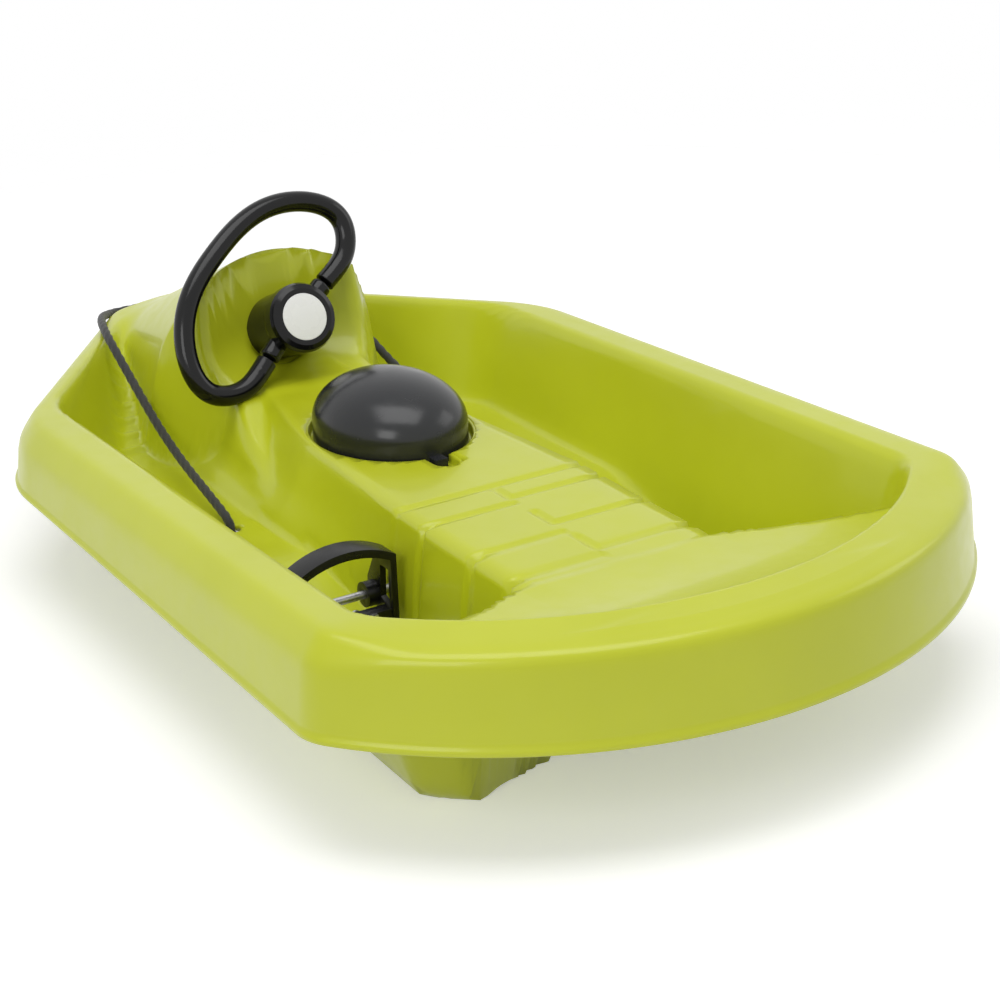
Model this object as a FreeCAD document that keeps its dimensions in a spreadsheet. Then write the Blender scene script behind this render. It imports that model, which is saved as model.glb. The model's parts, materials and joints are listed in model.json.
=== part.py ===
# Steering sled: a moulded one-seat sled with a steering wheel, a front ski, two hand brakes and a tow rope.
# Frame: +X to the bow, +Y to the rider's left, +Z up, origin on the ground below the middle of the hull.
import FreeCAD, Part
import math
import os
from FreeCAD import Placement, Rotation, Vector

doc = FreeCAD.newDocument("steering_sled")
sheet = doc.addObject("Spreadsheet::Sheet", "Sizes")

# Driving dimensions in millimetres and degrees
sizes = {
    # Hull outline in plan
    "overrun": 5,
    "wall": 4,
    "hull_length": 880,
    "bow_x": 440,
    "stern_radius": 308,
    "rear_corner_back": 128,
    "rear_half_width": 256,
    "shoulder_x": 200,
    "shoulder_half_width": 240,
    "tip_x": 418,
    "tip_half_width": 74,
    "rear_corner_radius": 34,
    "shoulder_radius": 120,
    "tip_radius": 60,
    "least_radius": 14,
    # Skirt, rim and tub
    "skirt_lift": 77,
    "rim_height": 133.5,
    "rim_slope": 2,
    "skirt_inset": 4,
    "band_drop": 20,
    "band_inset": 14,
    "rim_flat": 26,
    "bow_rim_flat": 9,
    "tub_lean": 48,
    "tub_corner_radius": 90,
    # Footwell floor, from the heel to the footrest
    "heel_x": -170,
    "floor_start_x": 10,
    "floor_rise": 46,
    "footrest_x": 245,
    "footrest_length": 140,
    "footrest_rise": 72,
    "footrest_rib_radius": 3,
    "footrest_rib_start": 14,
    "footrest_rib_pitch": 15.5,
    "footrest_rib_end": 35,
    # Seat, deck and tunnel
    "seat_height": 111.5,
    "seat_half_width": 80,
    "seat_rear_back": 178,
    "seat_front_x": -88,
    "seat_step_run": 6,
    "seat_foot_half_width": 88,
    "deck_front_back": 185,
    "deck_side_back": 140,
    "deck_side_y": 215,
    "deck_top_back": 44,
    "deck_step": 5,
    "deck_sag": 7,
    # Grooves of the seat, each measured back from the seat's front groove
    "groove_radius": 5,
    "groove_depth": 1.7,
    "groove_turn_run": 24,
    "left_groove_first": 41,
    "left_groove_second": 103.5,
    "left_groove_third": 151.5,
    "right_groove_first": 31.5,
    "right_groove_second": 87,
    "right_groove_third": 140,
    # Tunnel from the seat to the cowl
    "tunnel_height": 111.5,
    "tunnel_x": 60,
    "tunnel_half_width": 64,
    "crease_half_width": 80,
    "throat_x": 200,
    "throat_half_width": 36,
    "throat_crease_half_width": 56,
    "crease_height": 77,
    "tunnel_foot_half_width": 100,
    "tunnel_front_x": 330,
    # Cowl
    "cowl_face_x": 231,
    "cowl_top": 205,
    "cowl_half_width": 98,
    "cowl_shoulder": 118,
    "cowl_front_x": 415,
    "cowl_front_top": 121,
    "cowl_front_half_width": 64,
    "cowl_front_shoulder": 100,
    "scoop_radius": 150,
    "scoop_corner": 50,
    "scoop_drop": 1.5,
    "arch_rear_x": 150,
    "flare_x": 192,
    "flare_half_width": 38,
    "flare_reach": 80,
    # Stowage well and its cover
    "cover_x": 48,
    "cover_half_length": 66,
    "cover_half_width": 54,
    "cover_height": 44,
    "cover_skirt": 16,
    "cover_wall": 3,
    "cover_gap": 3,
    "recess_depth": 8,
    "well_ledge": 8,
    "well_depth": 40,
    "spigot_depth": 9,
    "spigot_gap": 0.4,
    "tab_length": 9,
    "tab_half_width": 5,
    "tab_height": 7,
    "notch_radius": 9,
    "notch_reach": 12,
    # Steering column, measured along its axis from the face of the badge
    "hub_x": 175,
    "hub_z": 164.5,
    "column_tilt": 23.7,
    "wheel_angle": 38,
    "hub_radius": 27,
    "hub_edge": 5,
    "hub_length": 56,
    "barrel_radius": 25.5,
    "flange_length": 15,
    "badge_radius": 18.2,
    "badge_thickness": 2.5,
    "badge_gap": 0.1,
    "wheel_half_width": 89,
    "wheel_top": 80,
    "wheel_drop": 2,
    "wheel_set_back": 20,
    "wheel_spoke_end": 52,
    "wheel_lobe_reach": 70,
    "wheel_side_rise": 17.5,
    "wheel_shoulder_rise": 61.5,
    "wheel_shoulder_reach": 68,
    "wheel_tube_radius": 8,
    "shaft_radius": 7,
    "shaft_gap": 0.05,
    "shaft_start": 14,
    "shaft_end": 160,
    "hub_screw_radius": 3,
    "hub_screw_head_radius": 6,
    "hub_screw_head": 4,
    "hub_screw_length": 30,
    "bush_body_radius": 9.5,
    "bush_flange_radius": 16,
    "bush_flange": 3,
    "pocket_gap": 3,
    "pocket_end_gap": 1,
    # Steering bridge, crank and ski
    "bridge_rear_x": 338,
    "bridge_wide_x": 362,
    "bridge_front_x": 392,
    "bridge_half_span": 98,
    "bridge_nose_half_span": 26,
    "bridge_z": 84,
    "bridge_thickness": 5,
    "post_x": 350,
    "post_y": 86,
    "post_radius": 9,
    "post_top": 110,
    "seat_gap": 0.05,
    "bearing_along": 132,
    "bearing_length": 12,
    "bearing_height": 24,
    "cheek_inner_y": 38,
    "cheek_thickness": 6,
    "cheek_rear_x": 290,
    "cheek_top": 121,
    "bush_wall": 2.5,
    "bush_gap": 0.1,
    "clip_thickness": 2,
    "clip_radius": 12,
    "clip_gap": 0.4,
    "crank_along": 149,
    "crank_length": 34,
    "crank_width": 14,
    "crank_thickness": 6,
    "crank_pin_radius": 4,
    "crank_pin_length": 20,
    "roller_radius": 7,
    "roller_length": 12,
    "kingpin_x": 372,
    "kingpin_radius": 5,
    "kingpin_gap": 0.05,
    "kingpin_head_radius": 10,
    "kingpin_head": 6,
    "kingpin_head_z": 2,
    "kingpin_tube_radius": 11,
    "kingpin_tube_z": 54.5,
    "washer_radius": 13,
    "washer_thickness": 2,
    "nut_radius": 9,
    "nut_height": 8,
    "running_gap": 0.35,
    "ski_half_width": 34,
    "ski_thickness": 6,
    "ski_tail_x": 262,
    "ski_toe_x": 388,
    "ski_tip_radius": 46,
    "ski_tip_angle": 48,
    "ski_rib_half_width": 13,
    "ski_rib_height": 20,
    "ski_post_radius": 17,
    "ski_post_top": 52,
    "tiller_z": 40,
    "tiller_top": 51,
    "fork_half_width": 16,
    "fork_slot_half_width": 10,
    "fork_rear_x": 293,
    "fork_front_x": 325,
    "fork_top": 77,
    "ski_angle": 18.7,
    "screw_radius": 3,
    "screw_head_radius": 6,
    "screw_head": 3.5,
    "screw_length": 13,
    "screw_gap": 0.1,
    # Hand brake
    "axle_x": -92,
    "axle_z": 56,
    "axle_radius": 3,
    "axle_gap": 0.05,
    "axle_inner_y": 72,
    "axle_flank_gap": 57.125,
    "cap_radius": 8,
    "cap_length": 5,
    "lever_inner_y": 90,
    "lever_flank_gap": 86.125,
    "lever_plate": 4.5,
    "lever_boss_radius": 9,
    "lever_boss_length": 13,
    "grip_width": 20,
    "grip_thickness": 6,
    "grip_height": 36,
    "grip_arch": 10,
    "grip_back": 26,
    "plate_foot": 16,
    "web_back": 24,
    "web_width": 10,
    "web_low": 12,
    "web_height": 8,
    "claw_width_share": 0.55,
    "claw_thickness": 3,
    "claw_reach_x": 54,
    "claw_reach_z": 48,
    "claw_tooth": 10,
    "claw_slot_gap": 5,
    "brake_slot_rear_x": -166,
    "brake_slot_front_x": -84,
    "rivet_radius": 2.5,
    "rivet_head_radius": 4.5,
    "rivet_head": 2,
    # Tow rope
    "rope_radius": 3.5,
    "rope_hole_x": 81,
    "rope_hole_y": 118,
    "rope_hole_radius": 7,
    "knot_radius": 10,
    "rope_tail": 8,
    "rope_rest_gap": 0.3,
    "rope_edge_x": 334,
    "rope_edge_y": 98,
    "rope_edge_lift": 3,
    "rope_turn_x": 388,
    "rope_turn_y": 80,
    "rope_sag": 15,
    "rope_bow_inset": 8,
    "rope_bow_drop": 7.5,
    "bend_share": 0.45,
}
for row, (alias, value) in enumerate(sizes.items(), start=1):
    sheet.set("A%d" % row, alias)
    sheet.set("B%d" % row, str(value))
    sheet.setAlias("B%d" % row, alias)
doc.recompute()


class Values:
    def __getattr__(self, alias):
        return float(sheet.get(alias))


v = Values()
up = Vector(0, 0, 1)
across = Vector(0, 1, 0)
forward = Vector(1, 0, 0)
stern_x = v.bow_x - v.hull_length
rear_corner_x = stern_x + v.rear_corner_back
deck_side_x = stern_x + v.deck_side_back
deck_front_x = stern_x + v.deck_front_back
deck_top_x = stern_x + v.deck_top_back
seat_rear_x = stern_x + v.seat_rear_back
middle_share = 0.5
nodes = []


def add(label, shape, placement=None):
    feature = doc.addObject("Part::Feature", label)
    feature.Label = label
    feature.Shape = shape
    if placement is not None:
        feature.Placement = placement
    nodes.append(feature)
    return feature


def mirrored(shape):
    return shape.mirror(Vector(0, 0, 0), across)


# Hull: every surface is made by one function of an offset, so that the wall comes out even
def side_line(start, end):
    along = (end - start).normalize()
    return start, along, Vector(along.y, -along.x, 0)


def crossing(first, first_inset, second, second_inset):
    a = first[0] + first[2] * first_inset
    b = second[0] + second[2] * second_inset
    gap = b - a
    turn = first[1].cross(second[1]).z
    return a + first[1] * (gap.cross(second[1]).z / turn)


def bow_lines():
    shoulder = Vector(v.shoulder_x, v.shoulder_half_width, 0)
    cheek = side_line(shoulder, Vector(v.tip_x, v.tip_half_width, 0))
    return cheek, (Vector(v.bow_x, 0, 0), Vector(0, -1, 0), Vector(-1, 0, 0))


def outline(inset, bow_inset, rear_radius):
    stern_centre = Vector(stern_x + v.stern_radius, 0, 0)
    shoulder = Vector(v.shoulder_x, v.shoulder_half_width, 0)
    flank = side_line(Vector(rear_corner_x, v.rear_half_width, 0), shoulder)
    cheek, bow = bow_lines()

    def rounding(first, first_inset, second, second_inset, radius):
        r = max(radius - max(first_inset, second_inset), v.least_radius)
        centre = crossing(first, first_inset + r, second, second_inset + r)
        middle = (first[2] + second[2]).normalize()
        return centre - first[2] * r, centre - middle * r, centre - second[2] * r

    r = max(rear_radius - inset, v.least_radius)
    foot = flank[0] + flank[2] * (inset + r)
    reach = foot - stern_centre
    along = reach.dot(flank[1])
    spare = along ** 2 - reach.dot(reach) + (v.stern_radius - inset - r) ** 2
    centre = foot - flank[1] * (along + math.sqrt(spare))
    radial = (centre - stern_centre).normalize()
    rear_arc = (
        stern_centre + radial * (v.stern_radius - inset),
        centre + (radial - flank[2]).normalize() * r,
        centre - flank[2] * r,
    )
    left_arcs = [
        rear_arc,
        rounding(flank, inset, cheek, bow_inset, v.shoulder_radius),
        rounding(cheek, bow_inset, bow, bow_inset, v.tip_radius),
    ]

    def other_side(point):
        return Vector(point.x, -point.y, 0)

    right_arcs = [tuple(other_side(p) for p in reversed(arc)) for arc in reversed(left_arcs)]
    here = other_side(rear_arc[0])
    edges = [Part.Arc(here, Vector(stern_x + inset, 0, 0), rear_arc[0]).toShape()]
    here = rear_arc[0]
    for first, middle, last in left_arcs + right_arcs:
        if not first.isEqual(here, Part.Precision.confusion()):
            edges.append(Part.LineSegment(here, first).toShape())
        edges.append(Part.Arc(first, middle, last).toShape())
        here = last
    return Part.Wire(edges)


def at_level(wire, height):
    wire.translate(up * height)
    return wire


def at_rim(wire, drop):
    wire.Placement = Placement(up * (v.rim_height - drop), Rotation(across, v.rim_slope))
    return wire


def rim_block(shrink, foot):
    skirt = v.skirt_inset + shrink
    crest = skirt + v.band_inset
    lower = at_level(outline(shrink, shrink, v.rear_corner_radius), foot)
    band = at_rim(outline(skirt, skirt, v.rear_corner_radius), v.band_drop)
    top = at_rim(outline(crest, crest, v.rear_corner_radius), shrink)
    skirt_part = Part.makeLoft([lower, band], True, True)
    return skirt_part.fuse(Part.makeLoft([band, top], True, True))


def side_profile(points, half_width):
    corners = [Vector(x, -half_width, z) for x, z in points]
    face = Part.Face(Part.makePolygon(corners + corners[:1]))
    return face.extrude(across * (2 * half_width))


def tub_space(grow):
    rim = v.skirt_inset + v.band_inset + v.rim_flat - grow
    bow = v.skirt_inset + v.band_inset + v.bow_rim_flat - grow
    above = 0 if grow else v.overrun
    top = at_rim(outline(rim, bow, v.tub_corner_radius), -above)
    foot = at_level(outline(rim + v.tub_lean, bow + v.tub_lean, v.tub_corner_radius), -v.overrun)
    bowl = Part.makeLoft([top, foot], True, True)
    sole = v.wall - grow
    floor = sole + v.floor_rise
    turn = math.atan2(v.footrest_rise, v.footrest_length)
    toe = v.footrest_x + grow * math.tan(turn / 2)
    reach_share = 2
    profile = [
        (stern_x, sole),
        (v.heel_x, sole),
        (v.floor_start_x, floor),
        (toe, floor),
        (toe + reach_share * v.footrest_length, floor + reach_share * v.footrest_rise),
        (stern_x, floor + reach_share * v.footrest_rise),
    ]
    return bowl.common(side_profile(profile, v.hull_length))


def cross_section(x, points):
    half = [Vector(x, y, z) for y, z in points]
    whole = half + [Vector(p.x, -p.y, p.z) for p in reversed(half)]
    return Part.makePolygon(whole + whole[:1])


def tunnel(shrink):
    seat_top = v.seat_height - shrink
    top = v.tunnel_height - shrink
    ground = -v.overrun
    foot = v.wall + v.floor_rise - shrink
    crease = v.crease_height - shrink

    def section(half_width, height, crease_half_width, foot_half_width):
        return [
            (half_width - shrink, height),
            (crease_half_width - shrink, crease),
            (foot_half_width - shrink, foot),
            (foot_half_width - shrink, ground),
        ]

    seat = section(v.seat_half_width, seat_top, v.crease_half_width, v.seat_foot_half_width)
    step = section(v.seat_half_width, top, v.crease_half_width, v.seat_foot_half_width)
    neck = section(v.tunnel_half_width, top, v.crease_half_width, v.tunnel_foot_half_width)
    throat = section(v.throat_half_width, top, v.throat_crease_half_width, v.tunnel_foot_half_width)
    stations = [
        (deck_side_x, seat),
        (v.seat_front_x, seat),
        (v.seat_front_x + v.seat_step_run, step),
        (v.tunnel_x, neck),
        (v.throat_x, throat),
        (v.tunnel_front_x, throat),
    ]
    sections = [cross_section(x, points) for x, points in stations]
    return Part.makeLoft(sections, True, True)


def plan_prism(points, low, high):
    left = [Vector(x, y, low) for x, y in points]
    whole = left + [Vector(p.x, -p.y, p.z) for p in reversed(left)]
    return Part.Face(Part.makePolygon(whole + whole[:1])).extrude(up * (high - low))


def deck(shrink):
    rim = v.rim_height - deck_top_x * math.tan(math.radians(v.rim_slope))
    ground = -v.overrun
    rear = Vector(deck_top_x, 0, rim - v.deck_step - shrink)
    front = Vector(seat_rear_x, 0, v.seat_height - shrink)
    sag = (rear + front) * middle_share - up * v.deck_sag
    outer = [
        front,
        Vector(v.tunnel_x, 0, front.z),
        Vector(v.tunnel_x, 0, ground),
        Vector(stern_x, 0, ground),
        Vector(stern_x, 0, rear.z),
        rear,
    ]
    edges = [Part.Arc(rear, sag, front).toShape()] + Part.makePolygon(outer).Edges
    profile = Part.Face(Part.Wire(edges))
    profile.translate(across * -v.hull_length)
    surface = profile.extrude(across * (2 * v.hull_length))
    run = (deck_side_x - deck_front_x) / (v.deck_side_y - v.seat_half_width)
    edge_x = deck_front_x + run * (v.rear_half_width - v.seat_half_width)
    plan = [
        (stern_x, v.rear_half_width),
        (edge_x - shrink, v.rear_half_width),
        (deck_front_x - shrink, v.seat_half_width),
    ]
    return surface.common(plan_prism(plan, ground, v.cowl_top))


def column_place(along, turn=0):
    rotation = Rotation(across, v.column_tilt - 90) * Rotation(up, turn)
    hub = Vector(v.hub_x, 0, v.hub_z)
    return Placement(hub + rotation.multVec(up * -along), rotation)


def column_cylinder(radius, first, last):
    rod = Part.makeCylinder(radius, last - first)
    rod.Placement = column_place(last)
    return rod


def arch(x, shrink):
    share = (x - v.cowl_face_x) / (v.cowl_front_x - v.cowl_face_x)
    half = v.cowl_half_width + share * (v.cowl_front_half_width - v.cowl_half_width) - shrink
    shoulder = v.cowl_shoulder + share * (v.cowl_front_shoulder - v.cowl_shoulder)
    top = v.cowl_top + share * (v.cowl_front_top - v.cowl_top) - shrink
    left = Vector(x, half, shoulder)
    right = Vector(x, -half, shoulder)
    foot = Vector(x, half, -v.overrun)
    other_foot = Vector(x, -half, -v.overrun)
    crown = Part.Arc(left, Vector(x, 0, top), right).toShape()
    sides = Part.makePolygon([right, other_foot, foot, left]).Edges
    return Part.Wire([crown] + sides)


def scoop(grow):
    radius = v.scoop_radius + grow
    bottom = v.tunnel_height - v.scoop_drop - grow
    top = v.cowl_top + v.scoop_radius
    corner = v.scoop_corner + grow
    lean = corner * math.sin(math.radians(45))
    start = Vector(radius - corner, 0, bottom)
    middle = Vector(radius - corner + lean, 0, bottom + corner - lean)
    end = Vector(radius, 0, bottom + corner)
    outer = [end, Vector(radius, 0, top), Vector(0, 0, top), Vector(0, 0, bottom), start]
    edges = [Part.Arc(start, middle, end).toShape()] + Part.makePolygon(outer).Edges
    bowl = Part.Face(Part.Wire(edges)).revolve(Vector(0, 0, 0), up, 360)
    bowl.translate(forward * (v.cowl_face_x - v.scoop_radius))
    return bowl


def cowl(shrink):
    body = Part.makeLoft([arch(v.arch_rear_x, shrink), arch(v.cowl_front_x - shrink, shrink)], True, True)
    hub_pocket = column_cylinder(
        v.barrel_radius + v.pocket_gap + shrink,
        -v.hub_length,
        v.hub_length + v.pocket_end_gap + shrink,
    )
    edge = v.flare_half_width - shrink
    flare_x = v.flare_x + shrink * (math.sqrt(2) - 1)
    kept = plan_prism([
        (v.arch_rear_x - v.overrun, edge),
        (flare_x, edge),
        (flare_x + v.flare_reach, edge + v.flare_reach),
        (v.bow_x, edge + v.flare_reach),
    ], -2 * v.overrun, v.cowl_top + v.scoop_radius)
    return body.common(kept).cut(scoop(shrink)).cut(hub_pocket)


def oval(x, half_x, half_y, low, high):
    if half_x >= half_y:
        ring = Part.Ellipse(Vector(x, 0, low), half_x, half_y)
    else:
        raise ValueError("the oval is longer than it is wide")
    return Part.Face(Part.Wire(ring.toShape())).extrude(up * (high - low))


def stowage_space(grow):
    top = v.tunnel_height + v.overrun
    ledge = v.tunnel_height - v.recess_depth - grow
    rim_x = v.cover_half_length + v.cover_gap + grow
    rim_y = v.cover_half_width + v.cover_gap + grow
    well_x = v.cover_half_length - v.well_ledge + grow
    well_y = v.cover_half_width - v.well_ledge + grow
    space = oval(v.cover_x, rim_x, rim_y, ledge, top)
    space = space.fuse(oval(v.cover_x, well_x, well_y, ledge - v.well_depth, top))
    notch_x = v.cover_x - rim_x - v.notch_reach
    notch = Part.makeCylinder(v.notch_radius + grow, top - ledge, Vector(notch_x, 0, ledge))
    channel = Part.makeBox(
        v.notch_reach * 2,
        2 * (v.notch_radius + grow),
        top - ledge,
        Vector(notch_x, -v.notch_radius - grow, ledge),
    )
    return space.fuse(notch.fuse(channel))


def island(shrink):
    body = tunnel(shrink).fuse(deck(shrink)).fuse(cowl(shrink))
    return body.cut(stowage_space(shrink))


def groove_places():
    left = [v.left_groove_first, v.left_groove_second, v.left_groove_third]
    right = [v.right_groove_first, v.right_groove_second, v.right_groove_third]
    return [v.seat_front_x - back for back in left], [v.seat_front_x - back for back in right]


def seat_grooves():
    middle = v.seat_height + v.groove_radius - v.groove_depth
    reach = v.seat_half_width + v.overrun
    wall_y = v.seat_half_width + v.groove_radius - v.groove_depth
    low = v.crease_height
    left, right = groove_places()

    def rod_along(start, direction, length):
        return Part.makeCylinder(v.groove_radius, length, start, direction)

    front = v.seat_front_x - v.seat_step_run
    tools = [rod_along(Vector(front, -reach, middle), across, 2 * reach)]
    for x in left:
        tools.append(rod_along(Vector(x, 0, middle), across, reach))
        tools.append(rod_along(Vector(x, wall_y, low), up, v.seat_height))
    for x in right:
        tools.append(rod_along(Vector(x, 0, middle), across * -1, reach))
        tools.append(rod_along(Vector(x, -wall_y, low), up, v.seat_height))
        tools.append(rod_along(Vector(x, 0, middle), forward, v.groove_turn_run))
    return tools


def footrest_ribs(space):
    slope = Vector(v.footrest_length, 0, v.footrest_rise).normalize()
    start = Vector(v.footrest_x, -v.rear_half_width, v.wall + v.floor_rise)
    run = v.footrest_length - v.footrest_rib_start - v.footrest_rib_end
    count = 1 + round(run / v.footrest_rib_pitch)
    ribs = []
    for number in range(count):
        foot = start + slope * (v.footrest_rib_start + number * v.footrest_rib_pitch)
        ribs.append(Part.makeCylinder(v.footrest_rib_radius, 2 * v.rear_half_width, foot, across))
    return [rib.common(space) for rib in ribs]


def cowl_zone():
    low = Vector(v.arch_rear_x, -v.rear_half_width, v.cowl_front_shoulder)
    return Part.makeBox(v.bow_x - v.arch_rear_x, 2 * v.rear_half_width, v.cowl_top, low)


def flank_half_width(x):
    share = (x - rear_corner_x) / (v.shoulder_x - rear_corner_x)
    return v.rear_half_width + share * (v.shoulder_half_width - v.rear_half_width)


lever_outer_y = flank_half_width(v.axle_x) - v.lever_flank_gap
axle_outer_y = flank_half_width(v.axle_x) - v.axle_flank_gap
lever_middle_y = (v.lever_inner_y + lever_outer_y) / 2
claw_half_width = (lever_outer_y - v.lever_inner_y) / 2 * v.claw_width_share


def hull_holes():
    floor_top = v.wall + v.floor_rise + v.overrun
    tools = [column_cylinder(v.bush_body_radius + v.bush_gap, v.hub_length, v.bearing_along)]
    for side in (1, -1):
        rope_hole = Vector(v.rope_hole_x, side * v.rope_hole_y, -v.overrun)
        tools.append(Part.makeCylinder(v.rope_hole_radius, floor_top + v.overrun, rope_hole))
    slot_half = claw_half_width + v.claw_slot_gap
    slot = Vector(v.brake_slot_rear_x, lever_middle_y - slot_half, -v.overrun)
    slot_length = v.brake_slot_front_x - v.brake_slot_rear_x
    tools.append(Part.makeBox(slot_length, 2 * slot_half, floor_top, slot))
    axle = Vector(v.axle_x, v.axle_inner_y, v.axle_z)
    span = axle_outer_y - v.axle_inner_y
    tools.append(Part.makeCylinder(v.axle_radius + v.axle_gap, span, axle, across))
    return tools


def bridge_posts(space):
    posts = []
    for side in (1, -1):
        foot = Vector(v.post_x, side * v.post_y, v.bridge_z + v.bridge_thickness + v.seat_gap)
        post = Part.makeCylinder(v.post_radius, v.post_top - foot.z, foot)
        bore = Part.makeCylinder(v.screw_radius + v.screw_gap, v.screw_length, foot)
        posts.append(post.cut(space).cut(bore))
    return posts


def hull_shell():
    block = rim_block(0, v.skirt_lift)
    hollow_block = rim_block(v.wall, v.skirt_lift - v.overrun)
    space = tub_space(0)
    tub = tub_space(v.wall)
    solid_island = island(0)
    outer = block.fuse(tub).fuse(solid_island.common(cowl_zone()))
    shell = outer.cut(space.cut(solid_island)).cut(hollow_block.cut(tub))
    hollow_zone = hollow_block.fuse(tub).fuse(cowl_zone())
    shell = shell.cut(island(v.wall).common(hollow_zone))
    shell = shell.cut(hull_holes() + seat_grooves())
    return shell.fuse(bridge_posts(space) + footrest_ribs(space.cut(solid_island)))


add("hull_shell", hull_shell())


# Steering wheel: a hub with a flange and a D-shaped loop of tube
def revolved(profile):
    corners = [Vector(r, 0, z) for r, z in profile]
    face = Part.Face(Part.makePolygon(corners + corners[:1]))
    return face.revolve(Vector(0, 0, 0), up, 360)


def wheel_path():
    half = [
        (-v.wheel_drop, v.wheel_tube_radius),
        (-v.wheel_drop, v.wheel_spoke_end),
        (0, v.wheel_lobe_reach),
        (v.wheel_side_rise, v.wheel_half_width),
        (v.wheel_shoulder_rise, v.wheel_shoulder_reach),
    ]
    places = half + [(v.wheel_top, 0)] + [(rise, -reach) for rise, reach in reversed(half)]
    loop = Part.BSplineCurve()
    loop.interpolate([Vector(rise, reach, -v.wheel_set_back) for rise, reach in places])
    return Part.Wire(loop.toShape())


def swept(path, radius):
    edge = path.Edges[0]
    start = edge.firstVertex().Point
    direction = edge.tangentAt(edge.FirstParameter)
    section = Part.Wire(Part.Circle(start, direction, radius).toShape())
    return path.makePipeShell([section], True, True)


def steering_wheel():
    edge = v.hub_edge
    edge_share = 1 - math.sin(math.pi / 4)
    hub = revolved([
        (0, 0),
        (v.hub_radius - edge, 0),
        (v.hub_radius - edge * edge_share, -edge * edge_share),
        (v.hub_radius, -edge),
        (v.hub_radius, -v.flange_length),
        (v.barrel_radius, -v.flange_length - edge),
        (v.barrel_radius, -v.hub_length),
        (0, -v.hub_length),
    ])
    hub = hub.fuse(swept(wheel_path(), v.wheel_tube_radius))
    tools = [
        (v.badge_radius + v.badge_gap, 0, v.badge_thickness),
        (v.hub_screw_head_radius + v.screw_gap, 0, v.badge_thickness + v.hub_screw_head + v.screw_gap),
        (v.hub_screw_radius + v.screw_gap, 0, v.shaft_start),
        (v.shaft_radius + v.shaft_gap, v.shaft_start - v.seat_gap, v.hub_length),
    ]
    for radius, first, last in tools:
        hub = hub.cut(Part.makeCylinder(radius, last - first, up * -last))
    return hub


add("steering_wheel", steering_wheel(), column_place(0, v.wheel_angle))


# Turned and plate pieces are primitives bound to the sheet
def bound(kind, name, placement, expressions):
    thing = doc.addObject(kind, name)
    for prop, expression in expressions.items():
        thing.setExpression(prop, expression)
    thing.Placement = placement
    return thing


def rod(name, placement, radius, length):
    return bound("Part::Cylinder", name, placement, {"Radius": radius, "Height": length})


def joined(label, pieces):
    fusion = doc.addObject("Part::MultiFuse", label)
    fusion.Shapes = pieces
    return fusion


def bored(label, base, tool):
    result = doc.addObject("Part::Cut", label)
    result.Base = base
    result.Tool = tool
    return result


def node(thing):
    thing.Label = thing.Name
    nodes.append(thing)
    return thing


def standing(x, y, z):
    return Placement(Vector(x, y, z), Rotation())


turn = v.wheel_angle
badge_floor = v.badge_thickness - v.seat_gap
node(rod("hub_badge", column_place(badge_floor, turn), "Sizes.badge_radius", "Sizes.badge_thickness - Sizes.seat_gap"))
screw_end = v.badge_thickness + v.seat_gap + v.hub_screw_length
screw_neck = v.badge_thickness + v.seat_gap + v.hub_screw_head
node(joined("hub_screw", [
    rod("hub_screw_shank", column_place(screw_end, turn), "Sizes.hub_screw_radius", "Sizes.hub_screw_length"),
    rod("hub_screw_head", column_place(screw_neck, turn), "Sizes.hub_screw_head_radius", "Sizes.hub_screw_head"),
]))


# Shaft with the crank arm at its lower end
def steering_shaft():
    shaft = Part.makeCylinder(v.shaft_radius, v.shaft_end - v.shaft_start, up * -v.shaft_end)
    low = -v.crank_along - v.crank_thickness / 2
    half = v.crank_width / 2
    arm = Part.makeBox(v.crank_length, v.crank_width, v.crank_thickness, Vector(-v.crank_length, -half, low))
    eye = Part.makeCylinder(half, v.crank_thickness, Vector(-v.crank_length, 0, low))
    hub = Part.makeCylinder(v.clip_radius, v.crank_thickness, up * low)
    pin_foot = Vector(-v.crank_length, 0, low - v.crank_pin_length)
    pin = Part.makeCylinder(v.crank_pin_radius, v.crank_pin_length, pin_foot)
    bore = Part.makeCylinder(v.hub_screw_radius + v.screw_gap, v.hub_screw_length, up * -screw_end - up * v.screw_gap)
    return shaft.fuse([arm, eye, hub, pin]).cut(bore)


add("steering_shaft", steering_shaft(), column_place(0, turn))

upper_wall = v.hub_length + v.pocket_end_gap
flange_along = upper_wall + v.wall + v.seat_gap
bush_end = flange_along + v.bush_flange
node(bored("upper_bush", joined("upper_bush_body", [
    rod("upper_bush_tube", column_place(bush_end), "Sizes.bush_body_radius", "Sizes.wall + Sizes.bush_flange"),
    rod("upper_bush_flange", column_place(bush_end), "Sizes.bush_flange_radius", "Sizes.bush_flange"),
]), rod("upper_bush_bore", column_place(bush_end + v.overrun), "Sizes.shaft_radius + Sizes.shaft_gap",
        "Sizes.hub_length")))
clip_along = bush_end + v.clip_gap + v.clip_thickness
node(bored("shaft_clip",
           rod("shaft_clip_ring", column_place(clip_along, turn), "Sizes.clip_radius", "Sizes.clip_thickness"),
           rod("shaft_clip_bore", column_place(clip_along + v.overrun, turn), "Sizes.shaft_radius + Sizes.shaft_gap",
               "Sizes.hub_length")))
bearing_end = v.bearing_along + v.bearing_length
node(bored("lower_bush",
           rod("lower_bush_tube", column_place(bearing_end), "Sizes.shaft_radius + Sizes.bush_wall",
               "Sizes.bearing_length"),
           rod("lower_bush_bore", column_place(bearing_end + v.overrun), "Sizes.shaft_radius + Sizes.shaft_gap",
               "Sizes.hub_length")))


# Crank sleeve and its clip sit on the crank's pin
def on_pin(along):
    place = column_place(along, turn)
    place.Base = place.Base + place.Rotation.multVec(forward * -v.crank_length)
    return place


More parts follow.
